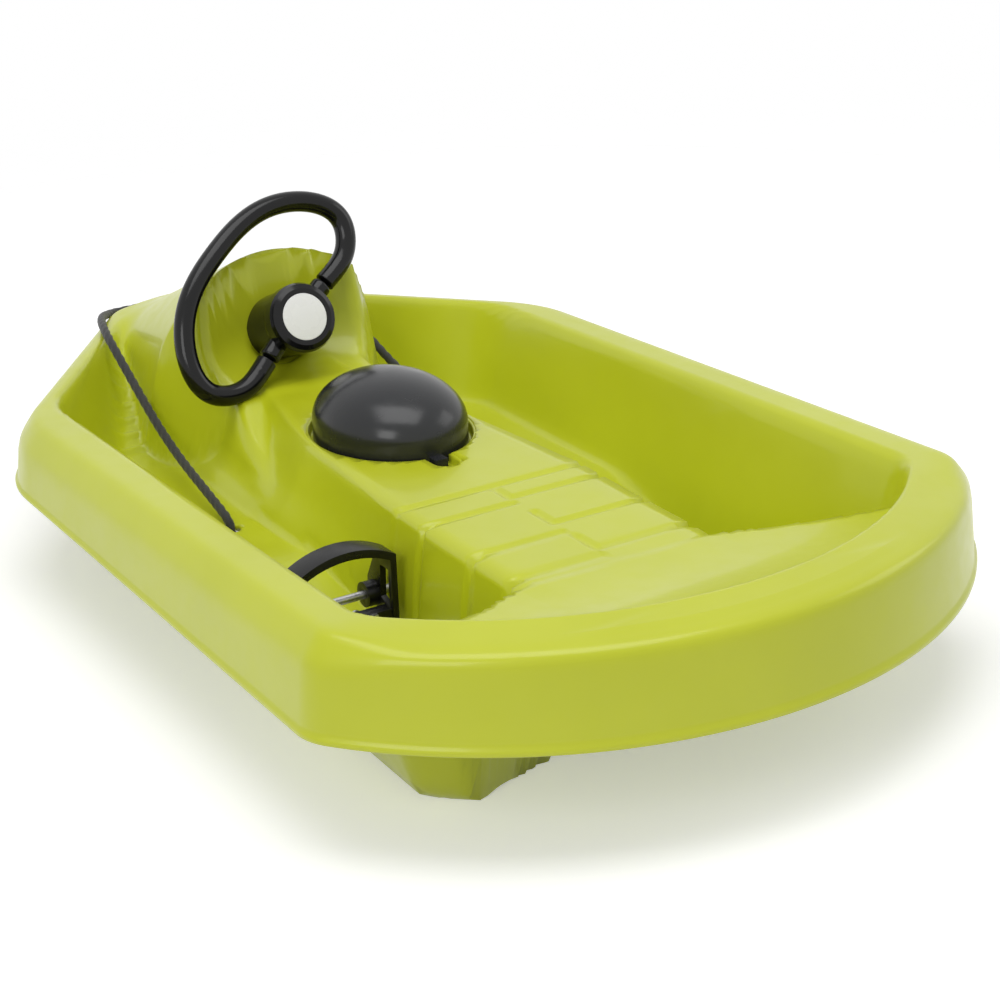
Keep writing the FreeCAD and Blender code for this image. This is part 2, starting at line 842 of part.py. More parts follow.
roller_first = v.crank_along + v.crank_thickness / 2 + v.running_gap
roller_last = roller_first + v.roller_length
node(bored("crank_sleeve",
           rod("crank_sleeve_body", on_pin(roller_last), "Sizes.roller_radius", "Sizes.roller_length"),
           rod("crank_sleeve_bore", on_pin(roller_last + v.overrun), "Sizes.crank_pin_radius + Sizes.shaft_gap",
               "Sizes.hub_length")))
pin_clip_last = roller_last + v.running_gap + v.clip_thickness
node(bored("crank_clip",
           rod("crank_clip_body", on_pin(pin_clip_last), "Sizes.roller_radius", "Sizes.clip_thickness"),
           rod("crank_clip_bore", on_pin(pin_clip_last + v.overrun), "Sizes.crank_pin_radius + Sizes.shaft_gap",
               "Sizes.hub_length")))


# Steering bridge: a plate under the bow with a yoke for the shaft and a tube for the kingpin
def steering_bridge():
    plate = plan_prism([
        (v.bridge_rear_x, v.bridge_half_span),
        (v.bridge_wide_x, v.bridge_half_span),
        (v.bridge_front_x, v.bridge_nose_half_span),
    ], v.bridge_z, v.bridge_z + v.bridge_thickness)
    outer_y = v.cheek_inner_y + v.cheek_thickness
    for side in (1, -1):
        low_y = min(side * v.cheek_inner_y, side * outer_y)
        size = (v.bridge_wide_x - v.cheek_rear_x, v.cheek_thickness, v.cheek_top - v.bridge_z)
        plate = plate.fuse(Part.makeBox(*size, Vector(v.cheek_rear_x, low_y, v.bridge_z)))
    half_height = v.bearing_height / 2
    bar = Part.makeBox(v.bearing_height, 2 * outer_y, v.bearing_length, Vector(-half_height, -outer_y, 0))
    bar.Placement = column_place(bearing_end)
    plate = plate.fuse(bar)
    king = Vector(v.kingpin_x, 0, v.kingpin_tube_z)
    tube_top = v.bridge_z + v.bridge_thickness
    plate = plate.fuse(Part.makeCylinder(v.kingpin_tube_radius, tube_top - v.kingpin_tube_z, king))
    tools = [
        Part.makeCylinder(v.kingpin_radius + v.kingpin_gap, tube_top, Vector(v.kingpin_x, 0, 0)),
        column_cylinder(v.shaft_radius + v.bush_wall + v.bush_gap, v.bearing_along - v.overrun, bearing_end + v.overrun),
    ]
    for side in (1, -1):
        foot = Vector(v.post_x, side * v.post_y, 0)
        tools.append(Part.makeCylinder(v.screw_radius + v.screw_gap, tube_top, foot))
    cheek_cap = v.cheek_top - v.bridge_z
    clear_of_crank = Vector(v.cheek_rear_x, -v.cheek_inner_y, v.bridge_z)
    crank_room = Part.makeBox(v.bridge_rear_x - v.cheek_rear_x, 2 * v.cheek_inner_y, cheek_cap, clear_of_crank)
    bar_keep = Part.makeBox(v.bearing_height, 2 * outer_y, v.bearing_length, Vector(-half_height, -outer_y, 0))
    bar_keep.Placement = column_place(bearing_end)
    return plate.cut(crank_room.cut(bar_keep)).cut(tools)


add("steering_bridge", steering_bridge())


def bridge_screw(side):
    head_top = v.bridge_z - v.seat_gap
    head_foot = Vector(v.post_x, side * v.post_y, head_top - v.screw_head)
    head = Part.makeCylinder(v.screw_head_radius, v.screw_head, head_foot)
    return head.fuse(Part.makeCylinder(v.screw_radius, v.screw_head + v.screw_length, head_foot))


add("bridge_screws", Part.makeCompound([bridge_screw(side) for side in (1, -1)]))

# Kingpin, its washers and nut
king_x = v.kingpin_x
bridge_top = v.bridge_z + v.bridge_thickness
node(joined("kingpin", [
    rod("kingpin_rod", standing(king_x, 0, v.kingpin_head_z), "Sizes.kingpin_radius",
        "Sizes.bridge_z + Sizes.bridge_thickness + Sizes.washer_thickness + Sizes.nut_height"),
    rod("kingpin_head", standing(king_x, 0, v.kingpin_head_z), "Sizes.kingpin_head_radius", "Sizes.kingpin_head"),
]))


def washer(foot):
    ring = Part.makeCylinder(v.washer_radius, v.washer_thickness, Vector(king_x, 0, foot))
    return ring.cut(Part.makeCylinder(v.kingpin_radius + v.kingpin_gap, bridge_top * 2, Vector(king_x, 0, 0)))


lower_washer = v.kingpin_tube_z - v.seat_gap - v.washer_thickness
upper_washer = bridge_top + v.seat_gap
add("kingpin_washers", Part.makeCompound([washer(lower_washer), washer(upper_washer)]))
nut_foot = upper_washer + v.washer_thickness + v.seat_gap
nut = bound("Part::Prism", "kingpin_nut_body", standing(king_x, 0, nut_foot),
            {"Circumradius": "Sizes.nut_radius", "Height": "Sizes.nut_height"})
nut.Polygon = 6
node(bored("kingpin_nut", nut, rod("kingpin_nut_bore", standing(king_x, 0, 0),
                                   "Sizes.kingpin_radius + Sizes.kingpin_gap", "2 * Sizes.bridge_z")))


# Front ski: a curled sole with a keel rib, a pivot post and a forked tiller, turned with the wheel
def steering_ski():
    half = v.ski_half_width
    bend = v.ski_tip_radius
    centre_z = bend
    angle = math.radians(v.ski_tip_angle)

    def on_curl(radius, share):
        swing = angle * share
        return Vector(v.ski_toe_x + radius * math.sin(swing), -half, centre_z - radius * math.cos(swing))

    inner = bend - v.ski_thickness
    tail_low = Vector(v.ski_tail_x, -half, 0)
    tail_high = Vector(v.ski_tail_x, -half, v.ski_thickness)
    sole = Part.Wire([
        Part.LineSegment(tail_low, on_curl(bend, 0)).toShape(),
        Part.Arc(on_curl(bend, 0), on_curl(bend, 0.5), on_curl(bend, 1)).toShape(),
        Part.LineSegment(on_curl(bend, 1), on_curl(inner, 1)).toShape(),
        Part.Arc(on_curl(inner, 1), on_curl(inner, 0.5), on_curl(inner, 0)).toShape(),
        Part.LineSegment(on_curl(inner, 0), tail_high).toShape(),
        Part.LineSegment(tail_high, tail_low).toShape(),
    ])
    ski = Part.Face(sole).extrude(across * (2 * half))
    rib_start = Vector(v.ski_tail_x + half, -v.ski_rib_half_width, v.ski_thickness / 2)
    rib_length = v.ski_toe_x - v.ski_tail_x - half
    rib = Part.makeBox(rib_length, 2 * v.ski_rib_half_width, v.ski_rib_height, rib_start)
    post = Part.makeCylinder(v.ski_post_radius, v.ski_post_top - v.ski_thickness / 2,
                             Vector(v.kingpin_x, 0, v.ski_thickness / 2))
    width = 2 * v.fork_half_width
    tiller = Part.makeBox(v.kingpin_x - v.fork_rear_x, width, v.tiller_top - v.tiller_z,
                          Vector(v.fork_rear_x, -v.fork_half_width, v.tiller_z))
    fork = Part.makeBox(v.fork_front_x - v.fork_rear_x, width, v.fork_top - v.tiller_z,
                        Vector(v.fork_rear_x, -v.fork_half_width, v.tiller_z))
    slot = Part.makeBox(v.kingpin_x - v.fork_rear_x, 2 * v.fork_slot_half_width, v.fork_top,
                        Vector(v.fork_rear_x - v.overrun, -v.fork_slot_half_width, v.tiller_top))
    ski = ski.fuse([rib, post, tiller, fork])
    king = Vector(v.kingpin_x, 0, -v.overrun)
    head_room = v.kingpin_head_z + v.kingpin_head + v.running_gap + v.overrun
    bores = [
        Part.makeCylinder(v.kingpin_radius + v.kingpin_gap, v.fork_top, king),
        Part.makeCylinder(v.kingpin_head_radius + v.running_gap, head_room, king),
        slot.cut(Part.makeCylinder(v.ski_post_radius, v.fork_top * 2, king)),
    ]
    return ski.cut(bores)


ski_shape = steering_ski()
ski_shape.rotate(Vector(king_x, 0, 0), up, v.ski_angle)
add("steering_ski", ski_shape)


# Cover of the stowage well: a thin dome with a spigot
def cover_dome(shrink):
    half_x = v.cover_half_length - shrink
    half_y = v.cover_half_width - shrink
    foot = v.tunnel_height - v.recess_depth + v.seat_gap
    skirt_top = foot + v.cover_skirt
    rise = v.cover_height + v.recess_depth - v.cover_skirt - shrink
    ball = Part.makeSphere(1)
    stretch = FreeCAD.Matrix()
    stretch.scale(half_x, half_y, rise)
    dome = ball.transformGeometry(stretch)
    dome.translate(Vector(v.cover_x, 0, skirt_top))
    box = Part.makeBox(2 * half_x + 2 * v.overrun, 2 * half_y + 2 * v.overrun, rise + v.overrun,
                       Vector(v.cover_x - half_x - v.overrun, -half_y - v.overrun, skirt_top))
    return dome.common(box).fuse(oval(v.cover_x, half_x, half_y, foot - shrink, skirt_top))


def stowage_cover():
    foot = v.tunnel_height - v.recess_depth + v.seat_gap
    spigot_x = v.cover_half_length - v.well_ledge - v.spigot_gap
    spigot_y = v.cover_half_width - v.well_ledge - v.spigot_gap
    inner_x = spigot_x - v.cover_wall
    inner_y = spigot_y - v.cover_wall
    ring = oval(v.cover_x, spigot_x, spigot_y, foot - v.spigot_depth, foot + v.cover_wall)
    ledge = oval(v.cover_x, v.cover_half_length, v.cover_half_width, foot, foot + v.cover_wall)
    opening = oval(v.cover_x, inner_x, inner_y, foot - v.spigot_depth, foot + v.cover_wall)
    shell = cover_dome(0).cut(cover_dome(v.cover_wall))
    tab_x = v.cover_x - v.cover_half_length - v.tab_length
    tab = Part.makeBox(
        v.tab_length + v.cover_wall,
        2 * v.tab_half_width,
        v.tab_height,
        Vector(tab_x, -v.tab_half_width, foot),
    )
    return shell.fuse([ring, ledge, tab]).cut(opening)


add("stowage_cover", stowage_cover())


# Hand brake in the left footwell
def lever_plate(y):
    axle = Vector(v.axle_x, y, v.axle_z)
    back = -v.grip_back
    top = v.grip_height
    corners = [
        (back, top - v.grip_thickness),
        (back, -v.plate_foot),
        (back + v.web_width, -v.plate_foot),
        (v.lever_boss_radius, -v.lever_boss_radius / 2),
        (v.lever_boss_radius, v.lever_boss_radius),
        (back + v.grip_width, top),
        (back, top),
    ]
    points = [axle + Vector(x, 0, z) for x, z in corners]
    plate = Part.Face(Part.makePolygon(points + points[:1])).extrude(across * v.lever_plate)
    window = [
        (back + v.lever_plate, top - 2 * v.grip_thickness),
        (back + v.lever_plate, -v.plate_foot / 3),
        (-v.lever_boss_radius, 0),
        (back + v.grip_width - v.lever_plate, top - 2 * v.grip_thickness),
    ]
    hole = [axle + Vector(x, 0, z) for x, z in window]
    return plate.cut(Part.Face(Part.makePolygon(hole + hole[:1])).extrude(across * v.lever_plate))


def brake_lever():
    inner = v.lever_inner_y
    outer = lever_outer_y
    middle = (inner + outer) / 2
    back = v.axle_x - v.grip_back
    top = v.axle_z + v.grip_height
    thick = v.grip_thickness

    def arch_edge(drop):
        return Part.Arc(
            Vector(back, inner, top - drop),
            Vector(back, middle, top + v.grip_arch - drop),
            Vector(back, outer, top - drop),
        ).toShape()

    upper = arch_edge(0)
    lower = arch_edge(thick)
    ends = [
        Part.LineSegment(Vector(back, y, top - thick), Vector(back, y, top)).toShape()
        for y in (inner, outer)
    ]
    grip = Part.Face(Part.Wire([upper, ends[1], lower, ends[0]])).extrude(forward * v.grip_width)
    pieces = [lever_plate(inner), lever_plate(outer - v.lever_plate)]
    web_low = Vector(v.axle_x - v.web_back, inner, v.axle_z - v.web_low)
    pieces.append(Part.makeBox(v.web_width, outer - inner, v.web_height, web_low))
    for start in (inner, outer - v.lever_boss_length):
        boss_foot = Vector(v.axle_x, start, v.axle_z)
        pieces.append(Part.makeCylinder(v.lever_boss_radius, v.lever_boss_length, boss_foot, across))
    lever = grip.fuse(pieces)
    bore_foot = Vector(v.axle_x, inner - v.overrun, v.axle_z)
    bore = Part.makeCylinder(v.axle_radius + v.axle_gap, outer - inner + 2 * v.overrun, bore_foot, across)
    rivet_holes = [rivet_rod(y, v.rivet_radius + v.axle_gap) for y in rivet_places()]
    return lever.cut([bore] + rivet_holes)


def rivet_places():
    return [lever_middle_y - claw_half_width / 2, lever_middle_y + claw_half_width / 2]


def rivet_rod(y, radius):
    foot = Vector(v.axle_x - v.web_back - v.claw_thickness - v.rivet_head, y, v.axle_z - v.web_low + v.web_height / 2)
    length = v.web_width + v.claw_thickness + 2 * v.rivet_head
    return Part.makeCylinder(radius, length, foot, forward)


def rivet(y):
    body = rivet_rod(y, v.rivet_radius)
    z = v.axle_z - v.web_low + v.web_height / 2
    rear = v.axle_x - v.web_back - v.claw_thickness - 2 * v.seat_gap
    front = v.axle_x - v.web_back + v.web_width + v.seat_gap
    heads = [
        Part.makeCylinder(v.rivet_head_radius, v.rivet_head, Vector(rear - v.rivet_head, y, z), forward),
        Part.makeCylinder(v.rivet_head_radius, v.rivet_head, Vector(front, y, z), forward),
    ]
    return body.fuse(heads)


def brake_claw():
    middle = lever_middle_y
    start = middle - claw_half_width
    face = v.axle_x - v.web_back - v.seat_gap
    top = v.axle_z - v.web_low + v.web_height
    foot = v.axle_z - v.web_low
    tip = Vector(v.axle_x - v.claw_reach_x, start, v.axle_z - v.claw_reach_z)
    thick = v.claw_thickness
    corners = [
        Vector(face, start, top),
        Vector(face - thick, start, top),
        Vector(face - thick, start, foot - thick / 2),
        tip,
        tip + Vector(thick, 0, -thick),
        Vector(face, start, foot - thick * 2),
    ]
    plate = Part.Face(Part.makePolygon(corners + corners[:1])).extrude(across * (2 * claw_half_width))
    gap_foot = Vector(tip.x - thick, middle - v.claw_tooth / 2, tip.z - 2 * thick)
    gap = Part.makeBox(v.claw_tooth + thick, v.claw_tooth, v.claw_tooth + 2 * thick, gap_foot)
    holes = [rivet_rod(y, v.rivet_radius + v.axle_gap) for y in rivet_places()]
    return plate.cut([gap] + holes)


def cap(foot_y, direction):
    foot = Vector(v.axle_x, foot_y, v.axle_z)
    body = Part.makeCylinder(v.cap_radius, v.cap_length, foot, direction)
    bore_foot = foot - direction * v.overrun
    return body.cut(Part.makeCylinder(v.axle_radius + v.axle_gap, v.cap_length * 2 + v.overrun, bore_foot, direction))


axle_span = axle_outer_y - v.axle_inner_y
axle_rod = Part.makeCylinder(v.axle_radius, axle_span, Vector(v.axle_x, v.axle_inner_y, v.axle_z), across)
add("brake_lever", brake_lever())
add("brake_claw", brake_claw())
add("claw_rivets", Part.makeCompound([rivet(y) for y in rivet_places()]))
add("brake_axle", axle_rod)
add("axle_caps", Part.makeCompound([cap(v.axle_inner_y, across), cap(axle_outer_y, across * -1)]))


# Tow rope: straight runs joined by tangent arcs, knotted under the floor on both sides
def rounded_route(points, bend_share):
    edges = []
    here = points[0]
    bends = []
    for before, corner, after in zip(points, points[1:], points[2:]):
        toward = (before - corner).normalize()
        away = (after - corner).normalize()
        half_turn = (math.pi - toward.getAngle(away)) / 2
        run = min((before - corner).Length, (after - corner).Length) * bend_share
        radius = run / math.tan(half_turn)
        first = corner + toward * run
        last = corner + away * run
        inward = (toward + away).normalize()
        middle = corner + inward * (radius / math.cos(half_turn) - radius)
        edges.append(Part.LineSegment(here, first).toShape())
        edges.append(Part.Arc(first, middle, last).toShape())
        bends.append(radius)
        here = last
    edges.append(Part.LineSegment(here, points[-1]).toShape())
    return Part.Wire(edges), bends


def rope_route():
    def on_rim(x, y):
        rim = v.rim_height - x * math.tan(math.radians(v.rim_slope))
        return Vector(x, y, rim + v.rope_radius + v.rope_rest_gap)

    hole = Vector(v.rope_hole_x, v.rope_hole_y, v.wall + v.floor_rise)
    start = hole + up * v.rope_radius
    edge = on_rim(v.rope_edge_x, v.rope_edge_y) + up * v.rope_edge_lift
    cheek, bow = bow_lines()
    corner = crossing(cheek, v.rope_bow_inset, bow, v.rope_bow_inset)
    half = [
        hole - up * (v.wall + v.rope_tail),
        start,
        (start + edge) * middle_share - up * v.rope_sag,
        edge,
        on_rim(v.rope_turn_x, v.rope_turn_y),
        on_rim(corner.x, corner.y) - up * (v.rope_bow_drop + v.rope_radius + v.rope_rest_gap),
    ]
    return half + [Vector(p.x, -p.y, p.z) for p in reversed(half)]


def tow_rope():
    path, bends = rounded_route(rope_route(), v.bend_share)
    rope = swept(path, v.rope_radius)
    for place in rope_route()[:6]:
        print("rope point %.1f %.1f %.1f" % tuple(place))
    print("rope length %.0f mm, smallest bend %.1f mm" % (path.Length, min(bends)))
    print("rope volume share %.3f" % (rope.Volume / (path.Length * math.pi * v.rope_radius ** 2)))
    return rope


add("tow_rope", tow_rope())


def rope_knot(side):
    end = rope_route()[0]
    centre = Vector(end.x, side * end.y, end.z - v.knot_radius - v.seat_gap)
    return Part.makeSphere(v.knot_radius, centre)


add("rope_knot_left", rope_knot(1))
add("rope_knot_right", rope_knot(-1))

doc.recompute()
os.makedirs("parts", exist_ok=True)
for thing in doc.Objects:
    if "Invalid" in thing.State or "Error" in thing.State:
        raise RuntimeError("feature failed: " + thing.Label)
for piece in nodes:
    if not piece.Shape.isValid() or not piece.Shape.Solids:
        raise RuntimeError("bad shape: " + piece.Label)
    piece.Shape.exportStep("parts/%s.step" % piece.Label)
    print(piece.Label, len(piece.Shape.Solids), round(piece.Shape.Volume))
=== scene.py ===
# steering sled: moulded hull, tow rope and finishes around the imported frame
import json
import math
import bmesh
import bpy
import numpy as np
from mathutils import Matrix, Vector


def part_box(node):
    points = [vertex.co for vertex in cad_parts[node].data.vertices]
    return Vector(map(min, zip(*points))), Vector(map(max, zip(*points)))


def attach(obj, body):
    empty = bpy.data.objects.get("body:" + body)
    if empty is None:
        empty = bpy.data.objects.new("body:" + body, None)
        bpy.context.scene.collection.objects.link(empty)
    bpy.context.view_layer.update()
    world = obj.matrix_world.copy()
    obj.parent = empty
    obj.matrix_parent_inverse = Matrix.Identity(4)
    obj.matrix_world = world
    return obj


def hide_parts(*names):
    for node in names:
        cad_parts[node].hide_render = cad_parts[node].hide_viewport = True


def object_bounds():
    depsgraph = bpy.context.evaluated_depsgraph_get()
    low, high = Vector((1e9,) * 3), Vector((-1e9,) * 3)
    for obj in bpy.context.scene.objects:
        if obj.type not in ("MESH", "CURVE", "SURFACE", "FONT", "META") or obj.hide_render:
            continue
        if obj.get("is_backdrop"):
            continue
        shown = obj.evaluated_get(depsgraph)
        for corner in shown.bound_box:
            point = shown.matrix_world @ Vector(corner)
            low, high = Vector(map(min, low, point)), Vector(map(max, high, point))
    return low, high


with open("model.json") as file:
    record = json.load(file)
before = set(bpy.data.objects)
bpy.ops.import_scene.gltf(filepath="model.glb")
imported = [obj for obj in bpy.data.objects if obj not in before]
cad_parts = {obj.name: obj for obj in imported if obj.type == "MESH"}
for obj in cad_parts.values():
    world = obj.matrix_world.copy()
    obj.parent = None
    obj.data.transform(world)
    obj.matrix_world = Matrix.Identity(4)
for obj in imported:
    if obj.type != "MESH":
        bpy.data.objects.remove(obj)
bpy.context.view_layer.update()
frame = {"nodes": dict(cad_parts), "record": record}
nodes = frame["nodes"]
scene = bpy.context.scene
mm = 0.001
print("frame loaded:", len(nodes), "nodes")


# small helpers shared by the pieces
def meshObject(name, points, faces):
    mesh = bpy.data.meshes.new(name)
    mesh.from_pydata([tuple(p) for p in points], [], faces)
    mesh.update()
    mesh.shade_smooth()
    piece = bpy.data.objects.new(name, mesh)
    scene.collection.objects.link(piece)
    return piece


def settle(piece, body, material, stoodFor=()):
    piece.data.materials.clear()
    piece.data.materials.append(material)
    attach(piece, body)
    if stoodFor:
        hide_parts(*stoodFor)
    return piece


def evaluatedMesh(piece):
    bpy.context.view_layer.update()
    graph = bpy.context.evaluated_depsgraph_get()
    return bpy.data.meshes.new_from_object(piece.evaluated_get(graph))


def baked(piece):
    mesh = evaluatedMesh(piece)
    piece.modifiers.clear()
    piece.data = mesh
    return piece


def ringPoints(centreX, centreY, radius, count):
    turns = [2 * math.pi * k / count for k in range(count)]
    return [(centreX + radius * math.cos(t), centreY + radius * math.sin(t)) for t in turns]


# quads between two rings of points that start at low and high
def ringBand(low, high, count):
    pairs = [(k, (k + 1) % count) for k in range(count)]
    return [(low + k, low + n, high + n, high + k) for k, n in pairs]


def lengthAlong(places):
    spans = np.linalg.norm(np.diff(places, axis=0), axis=1)
    return np.concatenate([[0], np.cumsum(spans)])


# camera at the photograph's angle
cameraSizes = {
    "place": (-1.5998, 0.8813, 0.8076),
    "aroundFromStern": 31.8,
    "above": 22.6,
    "roll": -1.9,
    "lens": 97.7,
    "sensor": 36,
    "shift": (-0.0564, 0.0241),
}


def makeCamera():
    around = math.radians(cameraSizes["aroundFromStern"])
    above = math.radians(cameraSizes["above"])
    roll = math.radians(cameraSizes["roll"])
    flat = math.cos(above)
    back = Vector((-math.cos(around) * flat, math.sin(around) * flat, math.sin(above)))
    level = (-back).cross(Vector((0, 0, 1))).normalized()
    top = level.cross(-back)
    right = level * math.cos(roll) + top * math.sin(roll)
    upright = top * math.cos(roll) - level * math.sin(roll)
    data = bpy.data.cameras.new("photoCamera")
    data.lens = cameraSizes["lens"]
    data.sensor_width = cameraSizes["sensor"]
    data.shift_x, data.shift_y = cameraSizes["shift"]
    camera = bpy.data.objects.new("photoCamera", data)
    scene.collection.objects.link(camera)
    turn = Matrix((right, upright, back)).transposed()
    camera.matrix_world = Matrix.Translation(cameraSizes["place"]) @ turn.to_4x4()
    scene.camera = camera


makeCamera()
print("camera placed")


# materials
def newMaterial(name):
    material = bpy.data.materials.new(name)
    material.use_nodes = True
    tree = material.node_tree
    return material, tree, tree.nodes["Principled BSDF"]


def objectCoords(tree, scale):
    coords = tree.nodes.new("ShaderNodeTexCoord")
    mapping = tree.nodes.new("ShaderNodeMapping")
    mapping.inputs["Scale"].default_value = (scale, scale, scale)
    tree.links.new(coords.outputs["Object"], mapping.inputs["Vector"])
    return mapping.outputs["Vector"]


def noiseOn(tree, scale, detail=3.0):
    noise = tree.nodes.new("ShaderNodeTexNoise")
    noise.inputs["Scale"].default_value = 1.0
    noise.inputs["Detail"].default_value = detail
    tree.links.new(objectCoords(tree, scale), noise.inputs["Vector"])
    return noise.outputs["Fac"]


def rampOn(tree, source, places, colours):
    ramp = tree.nodes.new("ShaderNodeValToRGB")
    for stop, place, colour in zip(ramp.color_ramp.elements, places, colours):
        stop.position = place
        stop.color = colour
    tree.links.new(source, ramp.inputs["Fac"])
    return ramp.outputs["Color"]


def grey(level):
    return (level, level, level, 1)


def bumpOn(tree, shader, source, strength, distance):
    bump = tree.nodes.new("ShaderNodeBump")
    bump.inputs["Strength"].default_value = strength
    bump.inputs["Distance"].default_value = distance
    tree.links.new(source, bump.inputs["Height"])
    tree.links.new(bump.outputs["Normal"], shader.inputs["Normal"])


plasticSizes = {
    "cloudScale": 9.0,
    "cloudStops": (0.3, 0.75),
    "scuffScale": 60.0,
    "scuffDetail": 5.0,
    "scuffStops": (0.35, 0.7),
    "coatRough": 0.08,
    "grainDetail": 2.0,
    "grainStrength": 0.15,
    "grainDepth": 0.0001,
}


def plastic(name, dark, light, rough, grain, coat=0.0, shine=0.5):
    material, tree, shader = newMaterial(name)
    cloud = noiseOn(tree, plasticSizes["cloudScale"])
    colour = rampOn(tree, cloud, plasticSizes["cloudStops"], (dark, light))
    tree.links.new(colour, shader.inputs["Base Color"])
    scuff = noiseOn(tree, plasticSizes["scuffScale"], plasticSizes["scuffDetail"])
    haze = rampOn(tree, scuff, plasticSizes["scuffStops"], [grey(level) for level in rough])
    tree.links.new(haze, shader.inputs["Roughness"])
    shader.inputs["Specular IOR Level"].default_value = shine
    shader.inputs["Coat Weight"].default_value = coat
    shader.inputs["Coat Roughness"].default_value = plasticSizes["coatRough"]
    pores = noiseOn(tree, grain, plasticSizes["grainDetail"])
    bumpOn(tree, shader, pores, plasticSizes["grainStrength"], plasticSizes["grainDepth"])
    return material


limePlastic = plastic(
    "limePlastic", dark=(0.54, 0.59, 0.014, 1), light=(0.58, 0.63, 0.02, 1),
    rough=(0.3, 0.38), grain=900.0, coat=0.25, shine=0.4
)
blackGloss = plastic(
    "blackGloss", dark=(0.004, 0.004, 0.0045, 1), light=(0.007, 0.007, 0.0075, 1),
    rough=(0.1, 0.18), grain=1200.0, shine=0.3
)
coverSatin = plastic(
    "coverSatin", dark=(0.016, 0.017, 0.019, 1), light=(0.022, 0.023, 0.026, 1),
    rough=(0.18, 0.28), grain=1400.0, shine=0.4
)
blackSatin = plastic(
    "blackSatin", dark=(0.006, 0.006, 0.0065, 1), light=(0.01, 0.01, 0.011, 1),
    rough=(0.25, 0.36), grain=1400.0, shine=0.3
)
badgeWhite = plastic(
    "badgeWhite", dark=grey(0.9), light=grey(0.94), rough=(0.25, 0.35), grain=900.0, coat=0.2
)
naturalNylon = plastic(
    "naturalNylon", dark=(0.6, 0.59, 0.54, 1), light=(0.68, 0.67, 0.62, 1),
    rough=(0.4, 0.5), grain=900.0
)
zincSizes = {
    "stops": (0.3, 0.7),
    "spangleScale": 240.0,
    "spangleColours": ((0.42, 0.42, 0.43, 1), (0.58, 0.58, 0.59, 1)),
    "hazeScale": 500.0,
    "hazeRough": (0.3, 0.45),
}


def zincSteel():
    material, tree, shader = newMaterial("zincSteel")
    shader.inputs["Metallic"].default_value = 1.0
    spangle = noiseOn(tree, zincSizes["spangleScale"])
    colour = rampOn(tree, spangle, zincSizes["stops"], zincSizes["spangleColours"])
    tree.links.new(colour, shader.inputs["Base Color"])
    cloud = noiseOn(tree, zincSizes["hazeScale"])
    haze = rampOn(tree, cloud, zincSizes["stops"], [grey(level) for level in zincSizes["hazeRough"]])
    tree.links.new(haze, shader.inputs["Roughness"])
    return material


zinc = zincSteel()
fibreSizes = {
    "scale": 1800.0,
    "detail": 4.0,
    "stops": (0.3, 0.75),
    "colours": ((0.006, 0.006, 0.007, 1), (0.03, 0.03, 0.032, 1)),
    "rough": 0.75,
    "sheen": 0.25,
    "reliefStrength": 0.5,
    "reliefDepth": 0.0004,
}


def braidedCord():
    material, tree, shader = newMaterial("braidedCord")
    fibre = noiseOn(tree, fibreSizes["scale"], fibreSizes["detail"])
    colour = rampOn(tree, fibre, fibreSizes["stops"], fibreSizes["colours"])
    tree.links.new(colour, shader.inputs["Base Color"])
    shader.inputs["Roughness"].default_value = fibreSizes["rough"]
    shader.inputs["Sheen Weight"].default_value = fibreSizes["sheen"]
    bumpOn(tree, shader, fibre, fibreSizes["reliefStrength"], fibreSizes["reliefDepth"])
    return material


cordBlack = braidedCord()
print("materials made")

# tow rope: the route of the CAD tube, as a NURBS line
ropeSizes = {
    "radius": 0.0035,
    "strands": 3,
    "layLength": 0.03,
    "layRings": 12,
    "groove": 0.2,
    "sides": 18,
    "curveSteps": 24,
    "knotSize": 0.0021,
    "knotRadius": 0.0031,
    "knotHeight": 1.6,
    "knotSteps": 60,
    "knotSides": 12,
}


def ropeRoute():
    left = [
        (81.0, 118.0, 38.0),
        (81.0, 118.0, 53.5),
        (207.5, 108.0, 76.1),
        (334.0, 98.0, 128.6),
        (388.0, 80.0, 123.8),
        (432.0, 53.3, 110.9),
    ]
    nearHole = (98.0, 116.7, 58.5)
    nearEdge = (295.3, 101.1, 112.5)
    nearBow = (432.0, 33.0, 110.9)
    points = left[:2] + [nearHole, left[2], nearEdge] + left[3:] + [nearBow]
    right = [(x, -y, z) for x, y, z in reversed(points)]
    return [Vector(p) * mm for p in points + right]


def nurbsLine(name, route):
    data = bpy.data.curves.new(name, "CURVE")
    data.dimensions = "3D"
    data.resolution_u = ropeSizes["curveSteps"]
    spline = data.splines.new("NURBS")
    spline.points.add(len(route) - 1)
    for point, place in zip(spline.points, route):
        point.co = (*place, 1)
    spline.order_u = 3
    spline.use_endpoint_u = True
    carrier = bpy.data.objects.new(name, data)
    scene.collection.objects.link(carrier)
    line = [v.co.copy() for v in evaluatedMesh(carrier).vertices]
    bpy.data.objects.remove(carrier)
    return line


def evenSteps(line, step):
    places = np.array(line)
    along = lengthAlong(places)
    count = max(2, int(along[-1] / step))
    marks = np.linspace(0, along[-1], count + 1)
    return np.stack([np.interp(marks, along, places[:, k]) for k in range(3)], 1), marks


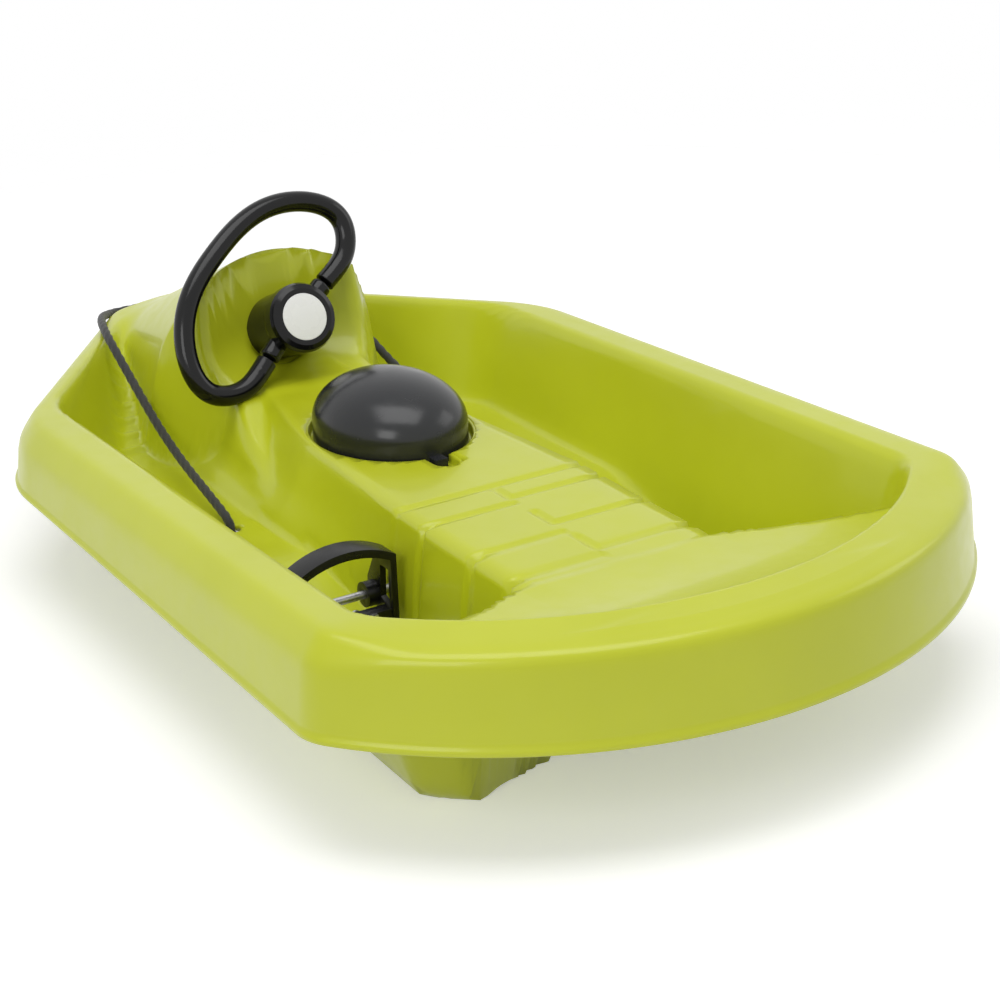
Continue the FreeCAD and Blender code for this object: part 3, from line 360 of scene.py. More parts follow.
# a tube whose section is the strands' lobes, turning once in each lay
def twistedTube(name, line, radius, sides):
    strands, layLength, groove = [ropeSizes[key] for key in ("strands", "layLength", "groove")]
    places, marks = evenSteps(line, layLength / ropeSizes["layRings"])
    tangents = np.gradient(places, axis=0)
    tangents /= np.linalg.norm(tangents, axis=1)[:, None]
    side = np.cross(tangents[0], (0.0, 1.0, 0.0))
    points, faces = [], []
    for row, (place, tangent, mark) in enumerate(zip(places, tangents, marks)):
        side = side - tangent * side.dot(tangent)
        side /= np.linalg.norm(side)
        other = np.cross(tangent, side)
        for k in range(sides):
            angle = 2 * math.pi * k / sides
            bulge = abs(math.cos((strands * angle - 2 * math.pi * strands * mark / layLength) / 2))
            reach = radius * (1 - groove + groove * bulge)
            points.append(place + side * (reach * math.cos(angle)) + other * (reach * math.sin(angle)))
        if row:
            faces += ringBand((row - 1) * sides, row * sides, sides)
    last = (len(places) - 1) * sides
    faces.append(tuple(reversed(range(sides))))
    faces.append(tuple(range(last, last + sides)))
    return meshObject(name, points, faces), places


# an overhand knot, as a trefoil
def knotLine(centre):
    steps = ropeSizes["knotSteps"]
    turns = [2 * math.pi * k / steps for k in range(steps + 1)]
    return [
        centre + ropeSizes["knotSize"] * Vector((
            math.sin(t) + 2 * math.sin(2 * t),
            math.cos(t) - 2 * math.cos(2 * t),
            -ropeSizes["knotHeight"] * math.sin(3 * t),
        ))
        for t in turns
    ]


ropeLine = nurbsLine("ropeRoute", ropeRoute())
towRope, ropePath = twistedTube("towRope", ropeLine, ropeSizes["radius"], ropeSizes["sides"])
settle(towRope, "hull", cordBlack, ["tow_rope"])
for sideName in ("left", "right"):
    low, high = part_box("rope_knot_" + sideName)
    loop = knotLine((Vector(low) + Vector(high)) / 2)
    knot = twistedTube("ropeKnot_" + sideName, loop, ropeSizes["knotRadius"], ropeSizes["knotSides"])[0]
    settle(knot, "hull", cordBlack, ["rope_knot_" + sideName])


# hull: a moulded skin worked out in mm as a height over the plan, with a rolled rim and a skirt
hullSizes = {
    "length": 880.0,
    "sternRadius": 308.0,
    "rearCorner": (-312.0, 256.0),
    "shoulder": (200.0, 240.0),
    "tip": (418.0, 74.0),
    "rearRadius": 34.0,
    "shoulderRadius": 120.0,
    "tipRadius": 60.0,
    "leastRadius": 14.0,
    "arcSteps": 24,
    "skirtLift": 77.0,
    "rimHeight": 133.5,
    "rimSlope": math.tan(math.radians(2)),
    "crestInset": 24.0,
    "tubInset": 44.0,
    "tubBowInset": 27.0,
    "tubLean": 48.0,
    "tubRadius": 90.0,
    "tubOverrun": 5.0,
    "wall": 4.0,
    "podBack": 32.0,
    "podBackFade": (-4.0, 6.0),
    "podInner": 62.0,
    "podInnerFade": (-7.0, 5.0),
    "podEnd": -150.0,
}
half = hullSizes["length"] / 2


# the left half of the plan's outline from stern to bow, set in from the edge
def hullEdge(inset, bowInset, rearRadius):
    sternCentre = np.array((hullSizes["sternRadius"] - half, 0.0))

    def sideLine(start, end):
        along = (np.array(end) - np.array(start)) / math.dist(start, end)
        return np.array(start), along, np.array((along[1], -along[0]))

    flank = sideLine(hullSizes["rearCorner"], hullSizes["shoulder"])
    cheek = sideLine(hullSizes["shoulder"], hullSizes["tip"])
    bow = (np.array((half, 0.0)), np.array((0.0, -1.0)), np.array((-1.0, 0.0)))

    def arc(centre, radius, first, last):
        a = math.atan2(first[1], first[0])
        b = math.atan2(last[1], last[0])
        turns = np.linspace(a, b, hullSizes["arcSteps"])
        return [centre + radius * np.array((math.cos(t), math.sin(t))) for t in turns]

    def rounding(first, firstInset, second, secondInset, radius):
        r = max(radius - max(firstInset, secondInset), hullSizes["leastRadius"])
        a = first[0] + first[2] * (firstInset + r)
        b = second[0] + second[2] * (secondInset + r)
        gap = b - a
        turn = first[1][0] * second[1][1] - first[1][1] * second[1][0]
        reach = (gap[0] * second[1][1] - gap[1] * second[1][0]) / turn
        return arc(a + first[1] * reach, r, -first[2], -second[2])

    r = max(rearRadius - inset, hullSizes["leastRadius"])
    foot = flank[0] + flank[2] * (inset + r)
    reach = foot - sternCentre
    along = reach @ flank[1]
    spare = along ** 2 - reach @ reach + (hullSizes["sternRadius"] - inset - r) ** 2
    corner = foot - flank[1] * (along + math.sqrt(spare))
    radial = (corner - sternCentre) / np.linalg.norm(corner - sternCentre)
    points = arc(sternCentre, hullSizes["sternRadius"] - inset, (-1.0, 1e-9), radial)
    points += arc(corner, r, radial, -flank[2])
    points += rounding(flank, inset, cheek, bowInset, hullSizes["shoulderRadius"])
    points += rounding(cheek, bowInset, bow, bowInset, hullSizes["tipRadius"])
    return np.array(points)


# how far points lie inside the mirrored outline, negative outside it
def insideDepth(points, edge):
    loop = np.concatenate([edge, edge[::-1] * (1, -1)])
    nearest = np.full(len(points), np.inf)
    odd = np.zeros(len(points), bool)
    height = points[:, 1] + 1e-4  # off the centre line, where the outline's halves meet
    for a, b in zip(loop, np.roll(loop, -1, 0)):
        step = b - a
        size = step @ step
        if size < 1e-12:
            continue
        share = np.clip(((points - a) @ step) / size, 0, 1)
        away = points - a - share[:, None] * step
        nearest = np.minimum(nearest, (away ** 2).sum(1))
        if a[1] != b[1]:
            crosses = (a[1] > height) != (b[1] > height)
            odd ^= crosses & (points[:, 0] < step[0] * (height - a[1]) / step[1] + a[0])
    return np.where(odd, 1, -1) * np.sqrt(nearest)


# soft maximum and minimum, which leave a fillet where two forms meet
def roundMax(a, b, size):
    blend = np.clip(0.5 + 0.5 * (a - b) / size, 0, 1)
    return b * (1 - blend) + a * blend + size * blend * (1 - blend)


def roundMin(a, b, size):
    return -roundMax(-a, -b, size)


def ramp(x, start, end):
    share = np.clip((x - start) / (end - start), 0, 1)
    return share * share * (3 - 2 * share)


formSizes = {
    "floor": [(-440, 4), (-170, 4), (10, 50), (245, 50), (385, 122), (440, 150)],
    "floorRound": 14.0,
    "seatTop": 111.5,
    "seat": [(80, 111.5), (82.5, 77), (88, 50), (88.6, 0)],
    "neck": [(64, 111.5), (80, 77), (100, 50), (100.6, 0)],
    "throat": [(36, 111.5), (56, 77), (100, 50), (100.6, 0)],
    "stations": (-88.0, 60.0, 200.0),
    "tunnelEnd": (200, -400),
    "tunnelBase": -50.0,
    "tunnelRound": 6.0,
    "taps": 7,
    "deckTop": -396.0,
    "deckFront": -262.0,
    "deckStep": 5.0,
    "deckSag": 7.0,
    "deckEdge": -255.0,
    "deckFlat": 80.0,
    "deckSweep": 3.0,
    "deckFall": 14.0,
    "sternFall": 0.2,
    "sternBlend": (-345.0, -285.0),
    "cowlFace": 231.0,
    "cowlFront": 415.0,
    "cowlFrontFall": 6.0,
    "cowlHalf": (98.0, 64.0),
    "cowlSideFall": 5.0,
    "cowlShoulder": (118.0, 100.0),
    "cowlTop": (205.0, 121.0),
    "cowlLeastRise": 5.0,
    "scoopRadius": 150.0,
    "scoopCorner": 50.0,
    "scoopShare": 0.985,
    "scoopRise": 12.0,
    "scoopFloor": 110.0,
    "flareX": 192.0,
    "flareHalf": 38.0,
    "flareFall": 4.0,
    "lipRun": 20.0,
    "lipFall": 0.6,
    "hub": (175.0, 164.5, 23.7),
    "pocketRadius": 28.5,
    "pocketEnd": 223.0,
}
filletSizes = {
    "floor": 16.0,
    "rim": 7.0,
    "seat": 3.0,
    "deck": 6.0,
    "cowl": 12.0,
    "scoop": 9.0,
}


def rimLevel(x):
    return hullSizes["rimHeight"] - x * hullSizes["rimSlope"]


def floorLevel(x):
    line = np.array(formSizes["floor"], float)
    taps = np.linspace(-formSizes["floorRound"], formSizes["floorRound"], formSizes["taps"])
    return sum(np.interp(x + t, line[:, 0], line[:, 1]) for t in taps) / len(taps)


grooveSizes = {
    "depth": 1.9,
    "halfWidth": 4.0,
    "front": -94.0,
    "left": (-129.0, -191.5, -239.5),
    "right": (-119.5, -175.0, -228.0),
    "turnRun": 24.0,
    "seatHalf": 84.0,
    "fluteFrom": 70.0,
    "fluteEnd": 87.0,
    "fluteFade": 4.0,
}


def dent(away):
    return grooveSizes["depth"] * np.clip(1 - (away / grooveSizes["halfWidth"]) ** 2, 0, 1)


def seatGrooves(x, y):
    depth = dent(x - grooveSizes["front"])
    for place in grooveSizes["left"]:
        depth = np.maximum(depth, np.where(y > 0, dent(x - place), 0))
    for place in grooveSizes["right"]:
        depth = np.maximum(depth, np.where(y < 0, dent(x - place), 0))
        beside = np.maximum(0, np.maximum(place - x, x - place - grooveSizes["turnRun"]))
        depth = np.maximum(depth, dent(np.hypot(beside, y)))
    return np.where(np.abs(y) < grooveSizes["seatHalf"], depth, 0)


# the seat grooves run on down the tunnel's walls
def wallFlutes(x, y):
    depth = 0 * x
    for name, side in (("left", 1), ("right", -1)):
        for place in grooveSizes[name]:
            depth = np.maximum(depth, np.where(y * side > grooveSizes["fluteFrom"], dent(x - place), 0))
    return depth * np.clip((grooveSizes["fluteEnd"] - np.abs(y)) / grooveSizes["fluteFade"], 0, 1)


def tunnelLevel(x, y):
    top, end = (0, formSizes["seatTop"]), formSizes["tunnelEnd"]
    lines = [np.array([top] + formSizes[name] + [end], float) for name in ("seat", "neck", "throat")]
    heights = lines[0][:, 1]
    rear, middle, front = formSizes["stations"]
    toNeck = np.clip((x - rear) / (middle - rear), 0, 1)
    toThroat = np.clip((x - middle) / (front - middle), 0, 1)
    halves = zip(*[line[:, 0] for line in lines])
    edges = [seat + toNeck * (neck - seat) + toThroat * (throat - neck) for seat, neck, throat in halves]
    flutes = wallFlutes(x, y)
    taps = np.linspace(0, formSizes["tunnelRound"], formSizes["taps"])
    total = 0
    for tap in taps:
        reach = np.abs(y) + tap + flutes
        low = np.full(np.shape(x), formSizes["tunnelBase"])
        for k in range(len(heights) - 1):
            first, second = edges[k], edges[k + 1]
            inside = (reach >= first) & (reach < second)
            share = (reach - first) / np.maximum(second - first, 1e-6)
            low = np.where(inside, heights[k] + share * (heights[k + 1] - heights[k]), low)
        total = total + low
    return total / len(taps)


def deckEdge(y):
    beside = np.maximum(0, np.abs(y) - formSizes["deckFlat"])
    return formSizes["deckEdge"] - beside / formSizes["deckSweep"]


def deckLevel(x, y):
    rear, front = formSizes["deckTop"], formSizes["deckFront"]
    top = rimLevel(rear) - formSizes["deckStep"]
    share = np.clip((x - rear) / (front - rear), 0, 1)
    level = top + share * (formSizes["seatTop"] - top) - 4 * formSizes["deckSag"] * share * (1 - share)
    return level - np.maximum(0, x - deckEdge(y)) * formSizes["deckFall"]


# an arched cowl, with a round scoop taken out of its rear face
def cowlLevel(x, y):
    share = (x - formSizes["cowlFace"]) / (formSizes["cowlFront"] - formSizes["cowlFace"])

    def between(name):
        rear, front = formSizes[name]
        return rear + share * (front - rear)

    width, shoulder, top = [between(name) for name in ("cowlHalf", "cowlShoulder", "cowlTop")]
    rise = np.maximum(top - shoulder, formSizes["cowlLeastRise"])
    radius = (width ** 2 + rise ** 2) / (2 * rise)
    side = np.abs(y)
    arch = top - radius + np.sqrt(np.maximum(radius ** 2 - np.minimum(side, width) ** 2, 0))
    arch = arch - np.maximum(0, side - width) * formSizes["cowlSideFall"]
    flare = formSizes["flareHalf"] + np.maximum(0, x - formSizes["flareX"])
    arch = arch - np.maximum(0, side - flare) * formSizes["flareFall"]
    arch = arch - np.maximum(0, x - formSizes["cowlFront"]) * formSizes["cowlFrontFall"]
    scoop, corner = formSizes["scoopRadius"], formSizes["scoopCorner"]
    steep = corner * formSizes["scoopShare"]
    away = np.hypot(np.maximum(0, x - (formSizes["cowlFace"] - scoop)), y)
    into = np.clip(away - (scoop - corner), 0, steep)
    bowl = formSizes["scoopFloor"] + corner - np.sqrt(corner ** 2 - into ** 2)
    bowl = bowl + np.maximum(0, away - (scoop - corner + steep)) * formSizes["scoopRise"]
    bowl = bowl - np.maximum(0, formSizes["flareX"] - formSizes["lipRun"] - x) * formSizes["lipFall"]
    return roundMin(arch, bowl, filletSizes["scoop"])


# room for the wheel's hub
def pocketLevel(x, y):
    hubX, hubZ, tilt = formSizes["hub"]
    slope = math.tan(math.radians(tilt))
    radius = formSizes["pocketRadius"]
    below = np.sqrt(np.maximum(radius ** 2 - y ** 2, 0)) / math.cos(math.radians(tilt))
    level = hubZ - (x - hubX) * slope - below
    free = (np.abs(y) < radius) & (x < formSizes["pocketEnd"])
    return np.where(free, level, np.inf)


ribSizes = {
    "first": 257.4,
    "pitch": 13.8,
    "count": 7,
    "halfWidth": 3.4,
    "height": 2.6,
}


def footrestRibs(x):
    height = 0 * x
    for number in range(ribSizes["count"]):
        away = (x - ribSizes["first"] - number * ribSizes["pitch"]) / ribSizes["halfWidth"]
        height = np.maximum(height, ribSizes["height"] * np.clip(1 - away ** 2, 0, 1))
    return height


def sternShare(x):
    return 1 - ramp(x, *formSizes["sternBlend"])


def tubWall(x, y, outward=0.0):
    edge = hullEdge(hullSizes["tubInset"], hullSizes["tubBowInset"], hullSizes["tubRadius"])
    depth = insideDepth(np.stack([x.ravel(), y.ravel()], 1), edge).reshape(x.shape) + outward
    top = rimLevel(x) + hullSizes["tubOverrun"]
    return top - depth * (top + hullSizes["tubOverrun"]) / hullSizes["tubLean"], depth


def hullLevel(x, y):
    wall, depth = tubWall(x, y)
    level = roundMax(wall, floorLevel(x) + footrestRibs(x), filletSizes["floor"])
    top = rimLevel(x) - formSizes["sternFall"] * np.maximum(0, -depth) * sternShare(x)
    level = roundMin(top, level, filletSizes["rim"])
    level = roundMax(level, tunnelLevel(x, y) - seatGrooves(x, y), filletSizes["seat"])
    level = roundMax(level, deckLevel(x, y), filletSizes["deck"])
    level = roundMax(level, cowlLevel(x, y), filletSizes["cowl"])
    return np.minimum(level, pocketLevel(x, y))


# the skin's grid: columns from stern to bow and rows from the centre line out, closer at the edges
gridSizes = {
    "breaks": (-262, -84, 250, 346),
    "columns": (44, 84, 84, 64, 44),
    "straightFrom": -190.0,
    "calmUntil": -250.0,
    "centre": 6.0,
    "ridge": (80, 64, 36),
    "ridgeBand": (-5.0, 4.0),
    "skirt": (90, 100, 100),
    "footIn": 40.0,
    "lipOut": (4.0, 2.0),
    "shares": (0.03, 0.33, 0.37, 0.45, 0.72, 0.9, 1.0),
    "leastGap": 0.02,
    "easeOver": 9,
    "mostShares": (0, 0.1, 0.4, 0.5, 0.6, 0.8, 0.95),
    "rows": (3, 6, 6, 8, 9, 13, 6),
}


def sideStations():
    crest = hullSizes["crestInset"]
    edge = hullEdge(crest, crest, hullSizes["rearRadius"])[hullSizes["arcSteps"] - 1:]
    along = lengthAlong(edge)
    stops = [0, *np.interp(gridSizes["breaks"], edge[:, 0], along), along[-1]]
    *runs, lastRun = zip(stops, stops[1:], gridSizes["columns"])
    marks = np.concatenate([np.linspace(*run, endpoint=False) for run in runs] + [np.linspace(*lastRun)])
    return np.stack([np.interp(marks, along, edge[:, k]) for k in range(2)], 1)


def middleStations(sides):
    sternX = hullSizes["crestInset"] - half
    straight = gridSizes["straightFrom"]
    first = sides[0, 0]
    share = np.clip((sides[:, 0] - first) / (straight - first), 0, 1)
    return np.where(sides[:, 0] < straight, sternX + share * (straight - sternX), sides[:, 0])


def rowLines(middles, reach):
    def widths(outSide, outBow):
        inset, bowInset = hullSizes["tubInset"] - outSide, hullSizes["tubBowInset"] - outBow
        edge = hullEdge(inset, bowInset, hullSizes["tubRadius"])
        return np.interp(middles, edge[:, 0], edge[:, 1])

    lip = widths(*gridSizes["lipOut"])
    foot = widths(-gridSizes["footIn"], -gridSizes["footIn"])
    ridge = np.interp(middles, formSizes["stations"], gridSizes["ridge"])
    skirt = np.interp(middles, formSizes["stations"], gridSizes["skirt"])
    inner, outer = gridSizes["ridgeBand"]
    centre = np.full(len(middles), gridSizes["centre"])
    calm = middles < gridSizes["calmUntil"]
    lines = [np.zeros(len(middles))]
    wanted = (centre, ridge + inner, ridge + outer, skirt, foot, lip, reach)
    for line, share in zip(wanted, gridSizes["shares"]):
        line = np.where(calm, share * reach, np.minimum(line, share * reach))
        lines.append(np.maximum(line, lines[-1] + gridSizes["leastGap"] * reach))
    return lines


def easedRows(lines):
    count = gridSizes["easeOver"]
    pad = count // 2
    rows = []
    for line in lines:
        padded = np.concatenate([np.full(pad, line[0]), line, np.full(pad, line[-1])])
        rows.append(np.convolve(padded, np.ones(count) / count, "valid"))
    most = gridSizes["mostShares"]
    return [np.minimum(row, share * lines[-1]) for row, share in zip(rows, most)] + [lines[-1]]


# the rim as insets and drops from the edge, then the skirt as insets and shares of the way down
rimSizes = {
    "side": [
        (20.5, 0.3), (17.6, 1.3), (15.0, 3.4), (12.8, 6.4), (10.6, 9.6),
        (8.4, 12.8), (6.4, 16.2), (5.0, 19.6), (4.2, 23.0),
    ],
    "stern": [
        (20.0, 4.8), (16.0, 5.7), (12.4, 6.8), (9.4, 8.0), (7.2, 9.6),
        (5.7, 11.8), (4.8, 14.6), (4.3, 18.2), (4.0, 22.0),
    ],
    "skirt": [
        (3.6, 0.08), (2.8, 0.34), (1.8, 0.62), (1.1, 0.82), (0.9, 0.87),
        (-0.4, 0.9), (-1.0, 0.94), (-0.9, 0.985), (0.2, 1.0),
    ],
}


def hullSkin():
    sides = sideStations()
    middles = middleStations(sides)
    reach = sides[:, 1]
    lines = easedRows(rowLines(middles, reach))
    rows = [lines[0]]
    for low, high, count in zip(lines, lines[1:], gridSizes["rows"]):
        for k in range(1, count + 1):
            rows.append(low + (high - low) * k / count)
    y = np.array([-r for r in reversed(rows[1:])] + rows)
    radius = hullSizes["sternRadius"] - hullSizes["crestInset"]
    full = radius - np.sqrt(radius ** 2 - reach[0] ** 2)
    share = np.abs(y) / reach
    bend = (radius - np.sqrt(radius ** 2 - (share * reach[0]) ** 2)) / full
    x = middles + (sides[:, 0] - middles) * bend
    z = hullLevel(x, y)
    tall, wide = y.shape
    points = [(float(x[j, i]), float(y[j, i]), float(z[j, i])) for j in range(tall) for i in range(wide)]
    faces = []
    for j in range(tall - 1):
        for i in range(wide - 1):
            a = j * wide + i
            faces.append((a, a + 1, a + wide + 1, a + wide))
    border = [(tall - 1) * wide + i for i in range(wide)]
    border += [j * wide + wide - 1 for j in range(tall - 2, -1, -1)]
    border += list(range(wide - 2, -1, -1))
    border += [j * wide for j in range(1, tall - 1)]
    loop = np.array([points[k][:2] for k in border])
    along = np.roll(loop, -1, 0) - np.roll(loop, 1, 0)
    along /= np.linalg.norm(along, axis=1)[:, None]
    outward = np.stack([-along[:, 1], along[:, 0]], 1)
    toStern = sternShare(loop[:, 0])
    side, stern = rimSizes["side"], rimSizes["stern"]
    steps = [(a, b, 0.0) for a, b in zip(side, stern)]
    steps += [((inset, side[-1][1]), (inset, stern[-1][1]), share) for inset, share in rimSizes["skirt"]]
    last = border
    for (inset, drop), (sternInset, sternDrop), share in steps:
        insets = inset + toStern * (sternInset - inset)
        drops = drop + toStern * (sternDrop - drop)
        spots = loop + outward * (hullSizes["crestInset"] - insets)[:, None]
        levels = rimLevel(spots[:, 0]) - drops
        levels = levels + share * (hullSizes["skirtLift"] - levels)
        ring = list(range(len(points), len(points) + len(spots)))
        points += [(float(p[0]), float(p[1]), float(q)) for p, q in zip(spots, levels)]
        for k in range(len(ring)):
            n = (k + 1) % len(ring)
            faces.append((last[k], last[n], ring[n], ring[k]))
        last = ring
    return outwardMesh("hullSkin", np.array(points) * mm, faces)


def outwardMesh(name, points, faces):
    piece = meshObject(name, points, faces)
    build = bmesh.new()
    build.from_mesh(piece.data)
    bmesh.ops.recalc_face_normals(build, faces=build.faces)
    highest = max(build.faces, key=lambda f: f.calc_center_median().z)
    if highest.normal.z < 0:
        bmesh.ops.reverse_faces(build, faces=build.faces)
    build.to_mesh(piece.data)
    build.free()
    piece.data.shade_smooth()
    return piece


def walled(piece):
    wall = piece.modifiers.new("wall", "SOLIDIFY")
    wall.thickness = hullSizes["wall"] * mm
    wall.offset = -1
    return baked(piece)


def prism(outline, low, high):
    count = len(outline)
    points = [(px, py, low) for px, py in outline] + [(px, py, high) for px, py in outline]
    faces = [tuple(reversed(range(count))), tuple(range(count, 2 * count))]
    return points, faces + ringBand(0, count, count)


def rodBetween(start, end, radius, count=32):
    way = (Vector(end) - Vector(start)).normalized()
    side = way.orthogonal().normalized()
    other = way.cross(side)
    points = []
    for middle in (Vector(start), Vector(end)):
        for across, up in ringPoints(0, 0, radius, count):
            points.append(tuple(middle + side * across + other * up))
    faces = [tuple(reversed(range(count))), tuple(range(count, 2 * count))]
    return points, faces + ringBand(0, count, count)


# stowage well: a recess for the cover with a finger notch, and a bowl below it
wellSizes = {
    "centre": 48.0,
    "recess": (69.0, 57.0),
    "recessRings": [
        (2.6, 111.0), (1.2, 110.9), (0.4, 110.3), (0.0, 109.2), (0.0, 105.2), (-0.5, 104.1), (-1.6, 103.5),
    ],
    "well": (58.0, 46.0),
    "wellRings": [(1.6, 103.5), (0.5, 103.0), (0.0, 101.9), (0.0, 67.5), (-1.2, 64.7), (-4.0, 63.5)],
    "floorShares": (0.66, 0.33, 0.02),
    "notchHalf": 9.0,
    "notchReach": 12.0,
    "notchTurns": (2.85, 2.88),
    "turnCounts": (130, 31),
}


def recessTurns():
    front, back = wellSizes["notchTurns"]
    frontCount, backCount = wellSizes["turnCounts"]
    ahead = np.linspace(-front, front, frontCount)
    return np.concatenate([ahead, np.linspace(back, 2 * math.pi - back, backCount)])


def recessOutline(grow):
    halfX, halfY = [k + grow for k in wellSizes["recess"]]
    notch = wellSizes["notchHalf"] + grow
    back = wellSizes["recess"][0] + wellSizes["notchReach"]
    places = []
    for turn in recessTurns():
        c, s = math.cos(turn), math.sin(turn)
        far = 1 / math.hypot(c / halfX, s / halfY)
        if c < 0:
            side = notch / max(abs(s), 1e-9)
            if -side * c > back:
                side = -back * c + math.sqrt(notch ** 2 - (back * s) ** 2)
            far = max(far, side)
        places.append((wellSizes["centre"] + far * c, far * s))
    return places


def wellOutline(grow, share=1.0):
    halfX, halfY = [(k + grow) * share for k in wellSizes["well"]]
    return [(wellSizes["centre"] + halfX * math.cos(t), halfY * math.sin(t)) for t in recessTurns()]


def stowageWell():
    rings = [(recessOutline(grow), z) for grow, z in wellSizes["recessRings"]]
    rings += [(wellOutline(grow), z) for grow, z in wellSizes["wellRings"]]
    grow, bottom = wellSizes["wellRings"][-1]
    rings += [(wellOutline(grow, share), bottom) for share in wellSizes["floorShares"]]
    count = len(recessTurns())
    points = [(px, py, z) for outline, z in rings for px, py in outline]
    last = (len(rings) - 1) * count
    faces = []
    for row in range(len(rings) - 1):
        faces += ringBand(row * count, (row + 1) * count, count)
    faces.append(tuple(range(last, last + count)))
    return walled(outwardMesh("stowageWell", np.array(points) * mm, faces))


# holes through the skin: shaft, ropes, brake axle, claw slot and stowage recess
holeSizes = {
    "shaftReach": (50, 84),
    "shaftRadius": 9.7,
    "rope": (81, 118),
    "ropeLevels": (20, 80),
    "ropeRadius": 7,
    "axle": (-92, 56),
    "axleSpan": (70, 196),
    "axleRadius": 3.2,
    "axleSides": 20,
    "slotX": (-166, -84),
    "slotY": (101.4, 151.6),
    "slotLevels": (-20, 48),
    "recessGrow": 2.0,
    "recessLevels": (96, 120),
}


def hullCutter():
    points, faces = [], []

    def take(part):
        base = len(points)
        points.extend(part[0])
        faces.extend([tuple(base + k for k in face) for face in part[1]])

    hubX, hubZ, tilt = formSizes["hub"]
    way = Vector((math.cos(math.radians(tilt)), 0, -math.sin(math.radians(tilt))))
    shaft = [Vector((hubX, 0, hubZ)) + way * reach for reach in holeSizes["shaftReach"]]
    take(rodBetween(*shaft, holeSizes["shaftRadius"]))
    ropeX, ropeY = holeSizes["rope"]
    for side in (1, -1):
        hole = [(ropeX, side * ropeY, level) for level in holeSizes["ropeLevels"]]
        take(rodBetween(*hole, holeSizes["ropeRadius"]))
    axleX, axleZ = holeSizes["axle"]
    axle = [(axleX, y, axleZ) for y in holeSizes["axleSpan"]]
    take(rodBetween(*axle, holeSizes["axleRadius"], holeSizes["axleSides"]))
    (rear, front), (inner, outer) = holeSizes["slotX"], holeSizes["slotY"]
    slot = [(rear, inner), (front, inner), (front, outer), (rear, outer)]
    take(prism(slot, *holeSizes["slotLevels"]))
    take(prism(recessOutline(holeSizes["recessGrow"]), *holeSizes["recessLevels"]))
    return outwardMesh("hullCutter", np.array(points) * mm, faces)


# the wall's under side, let down into the runner pods below the deck
def lowerPods(piece, count):
    places = np.empty(len(piece.data.vertices) * 3)
    piece.data.vertices.foreach_get("co", places)
    places = places.reshape(-1, 3) / mm
    under = places[count:]
    x, y = under[:, 0], under[:, 1]
    outer = tubWall(x, y, hullSizes["wall"])[0]
    pod = roundMax(outer, floorLevel(x) - hullSizes["wall"], filletSizes["floor"])
    fromBack = ramp(x - deckEdge(y) + hullSizes["podBack"], *hullSizes["podBackFade"])
    fromInside = ramp(np.abs(y) - hullSizes["podInner"], *hullSizes["podInnerFade"])
    share = np.where(x < hullSizes["podEnd"], fromBack * fromInside, 0)
    under[:, 2] -= share * np.maximum(0, under[:, 2] - pod)
    piece.data.vertices.foreach_set("co", (places * mm).ravel())
    piece.data.update()


def makeHull():
    piece = hullSkin()
    count = len(piece.data.vertices)
    walled(piece)
    lowerPods(piece, count)
    cutter = hullCutter()
    holes = piece.modifiers.new("holes", "BOOLEAN")
    holes.operation = "DIFFERENCE"
    holes.solver = "MANIFOLD"
    holes.object = cutter
    baked(piece)
    bpy.data.objects.remove(cutter)
    return piece


# posts that the steering bridge is screwed to
postSizes = {
    "x": 350,
    "y": 86,
    "sides": 36,
    "profile": [(3.2, 101.0), (3.2, 89.1), (8.6, 89.1), (9.0, 89.6), (9.0, 101.0)],
}


def bridgePosts():
    count, profile = postSizes["sides"], postSizes["profile"]
    points, faces = [], []
    for side in (1, -1):
        base = len(points)
        for radius, z in profile:
            ring = ringPoints(postSizes["x"], side * postSizes["y"], radius, count)
            points += [(px, py, z) for px, py in ring]
        for row in range(len(profile)):
            after = (row + 1) % len(profile)
            faces += ringBand(base + row * count, base + after * count, count)
    return outwardMesh("bridgePosts", np.array(points) * mm, faces)


hull = makeHull()
settle(hull, "hull", limePlastic, ["hull_shell"])
settle(stowageWell(), "hull", limePlastic)
settle(bridgePosts(), "hull", limePlastic)
print("hull skin:", len(hull.data.polygons), "faces")


# CAD nodes with their edges broken, and the finishes of the rest
bodyOf = {}
for bodyName, held in frame["record"]["behaviour"]["bodies"].items():
    for name in held:
        bodyOf[name] = bodyName
slotOf = {part["node"]: part["material_slot"] for part in frame["record"]["subparts"]}
finishes = {
    "hull": limePlastic,
    "wheel": blackGloss,
    "badge": badgeWhite,
    "cover": coverSatin,
    "black": blackSatin,
    "bush": naturalNylon,
    "steel": zinc,
    "rope": cordBlack,
}
edgeSizes = {
    "hub_badge": 0.0005,
    "stowage_cover": 0.0008,
    "brake_lever": 0.0012,
    "steering_ski": 0.0012,
    "steering_bridge": 0.001,
    "brake_claw": 0.0006,
    "axle_caps": 0.0008,
}
bevelSizes = {
    "weld": 1e-6,
    "flatAngle": math.radians(0.6),
    "edgeAngle": math.radians(35),
    "sharpAngle": math.radians(42),
    "segments": 3,
}


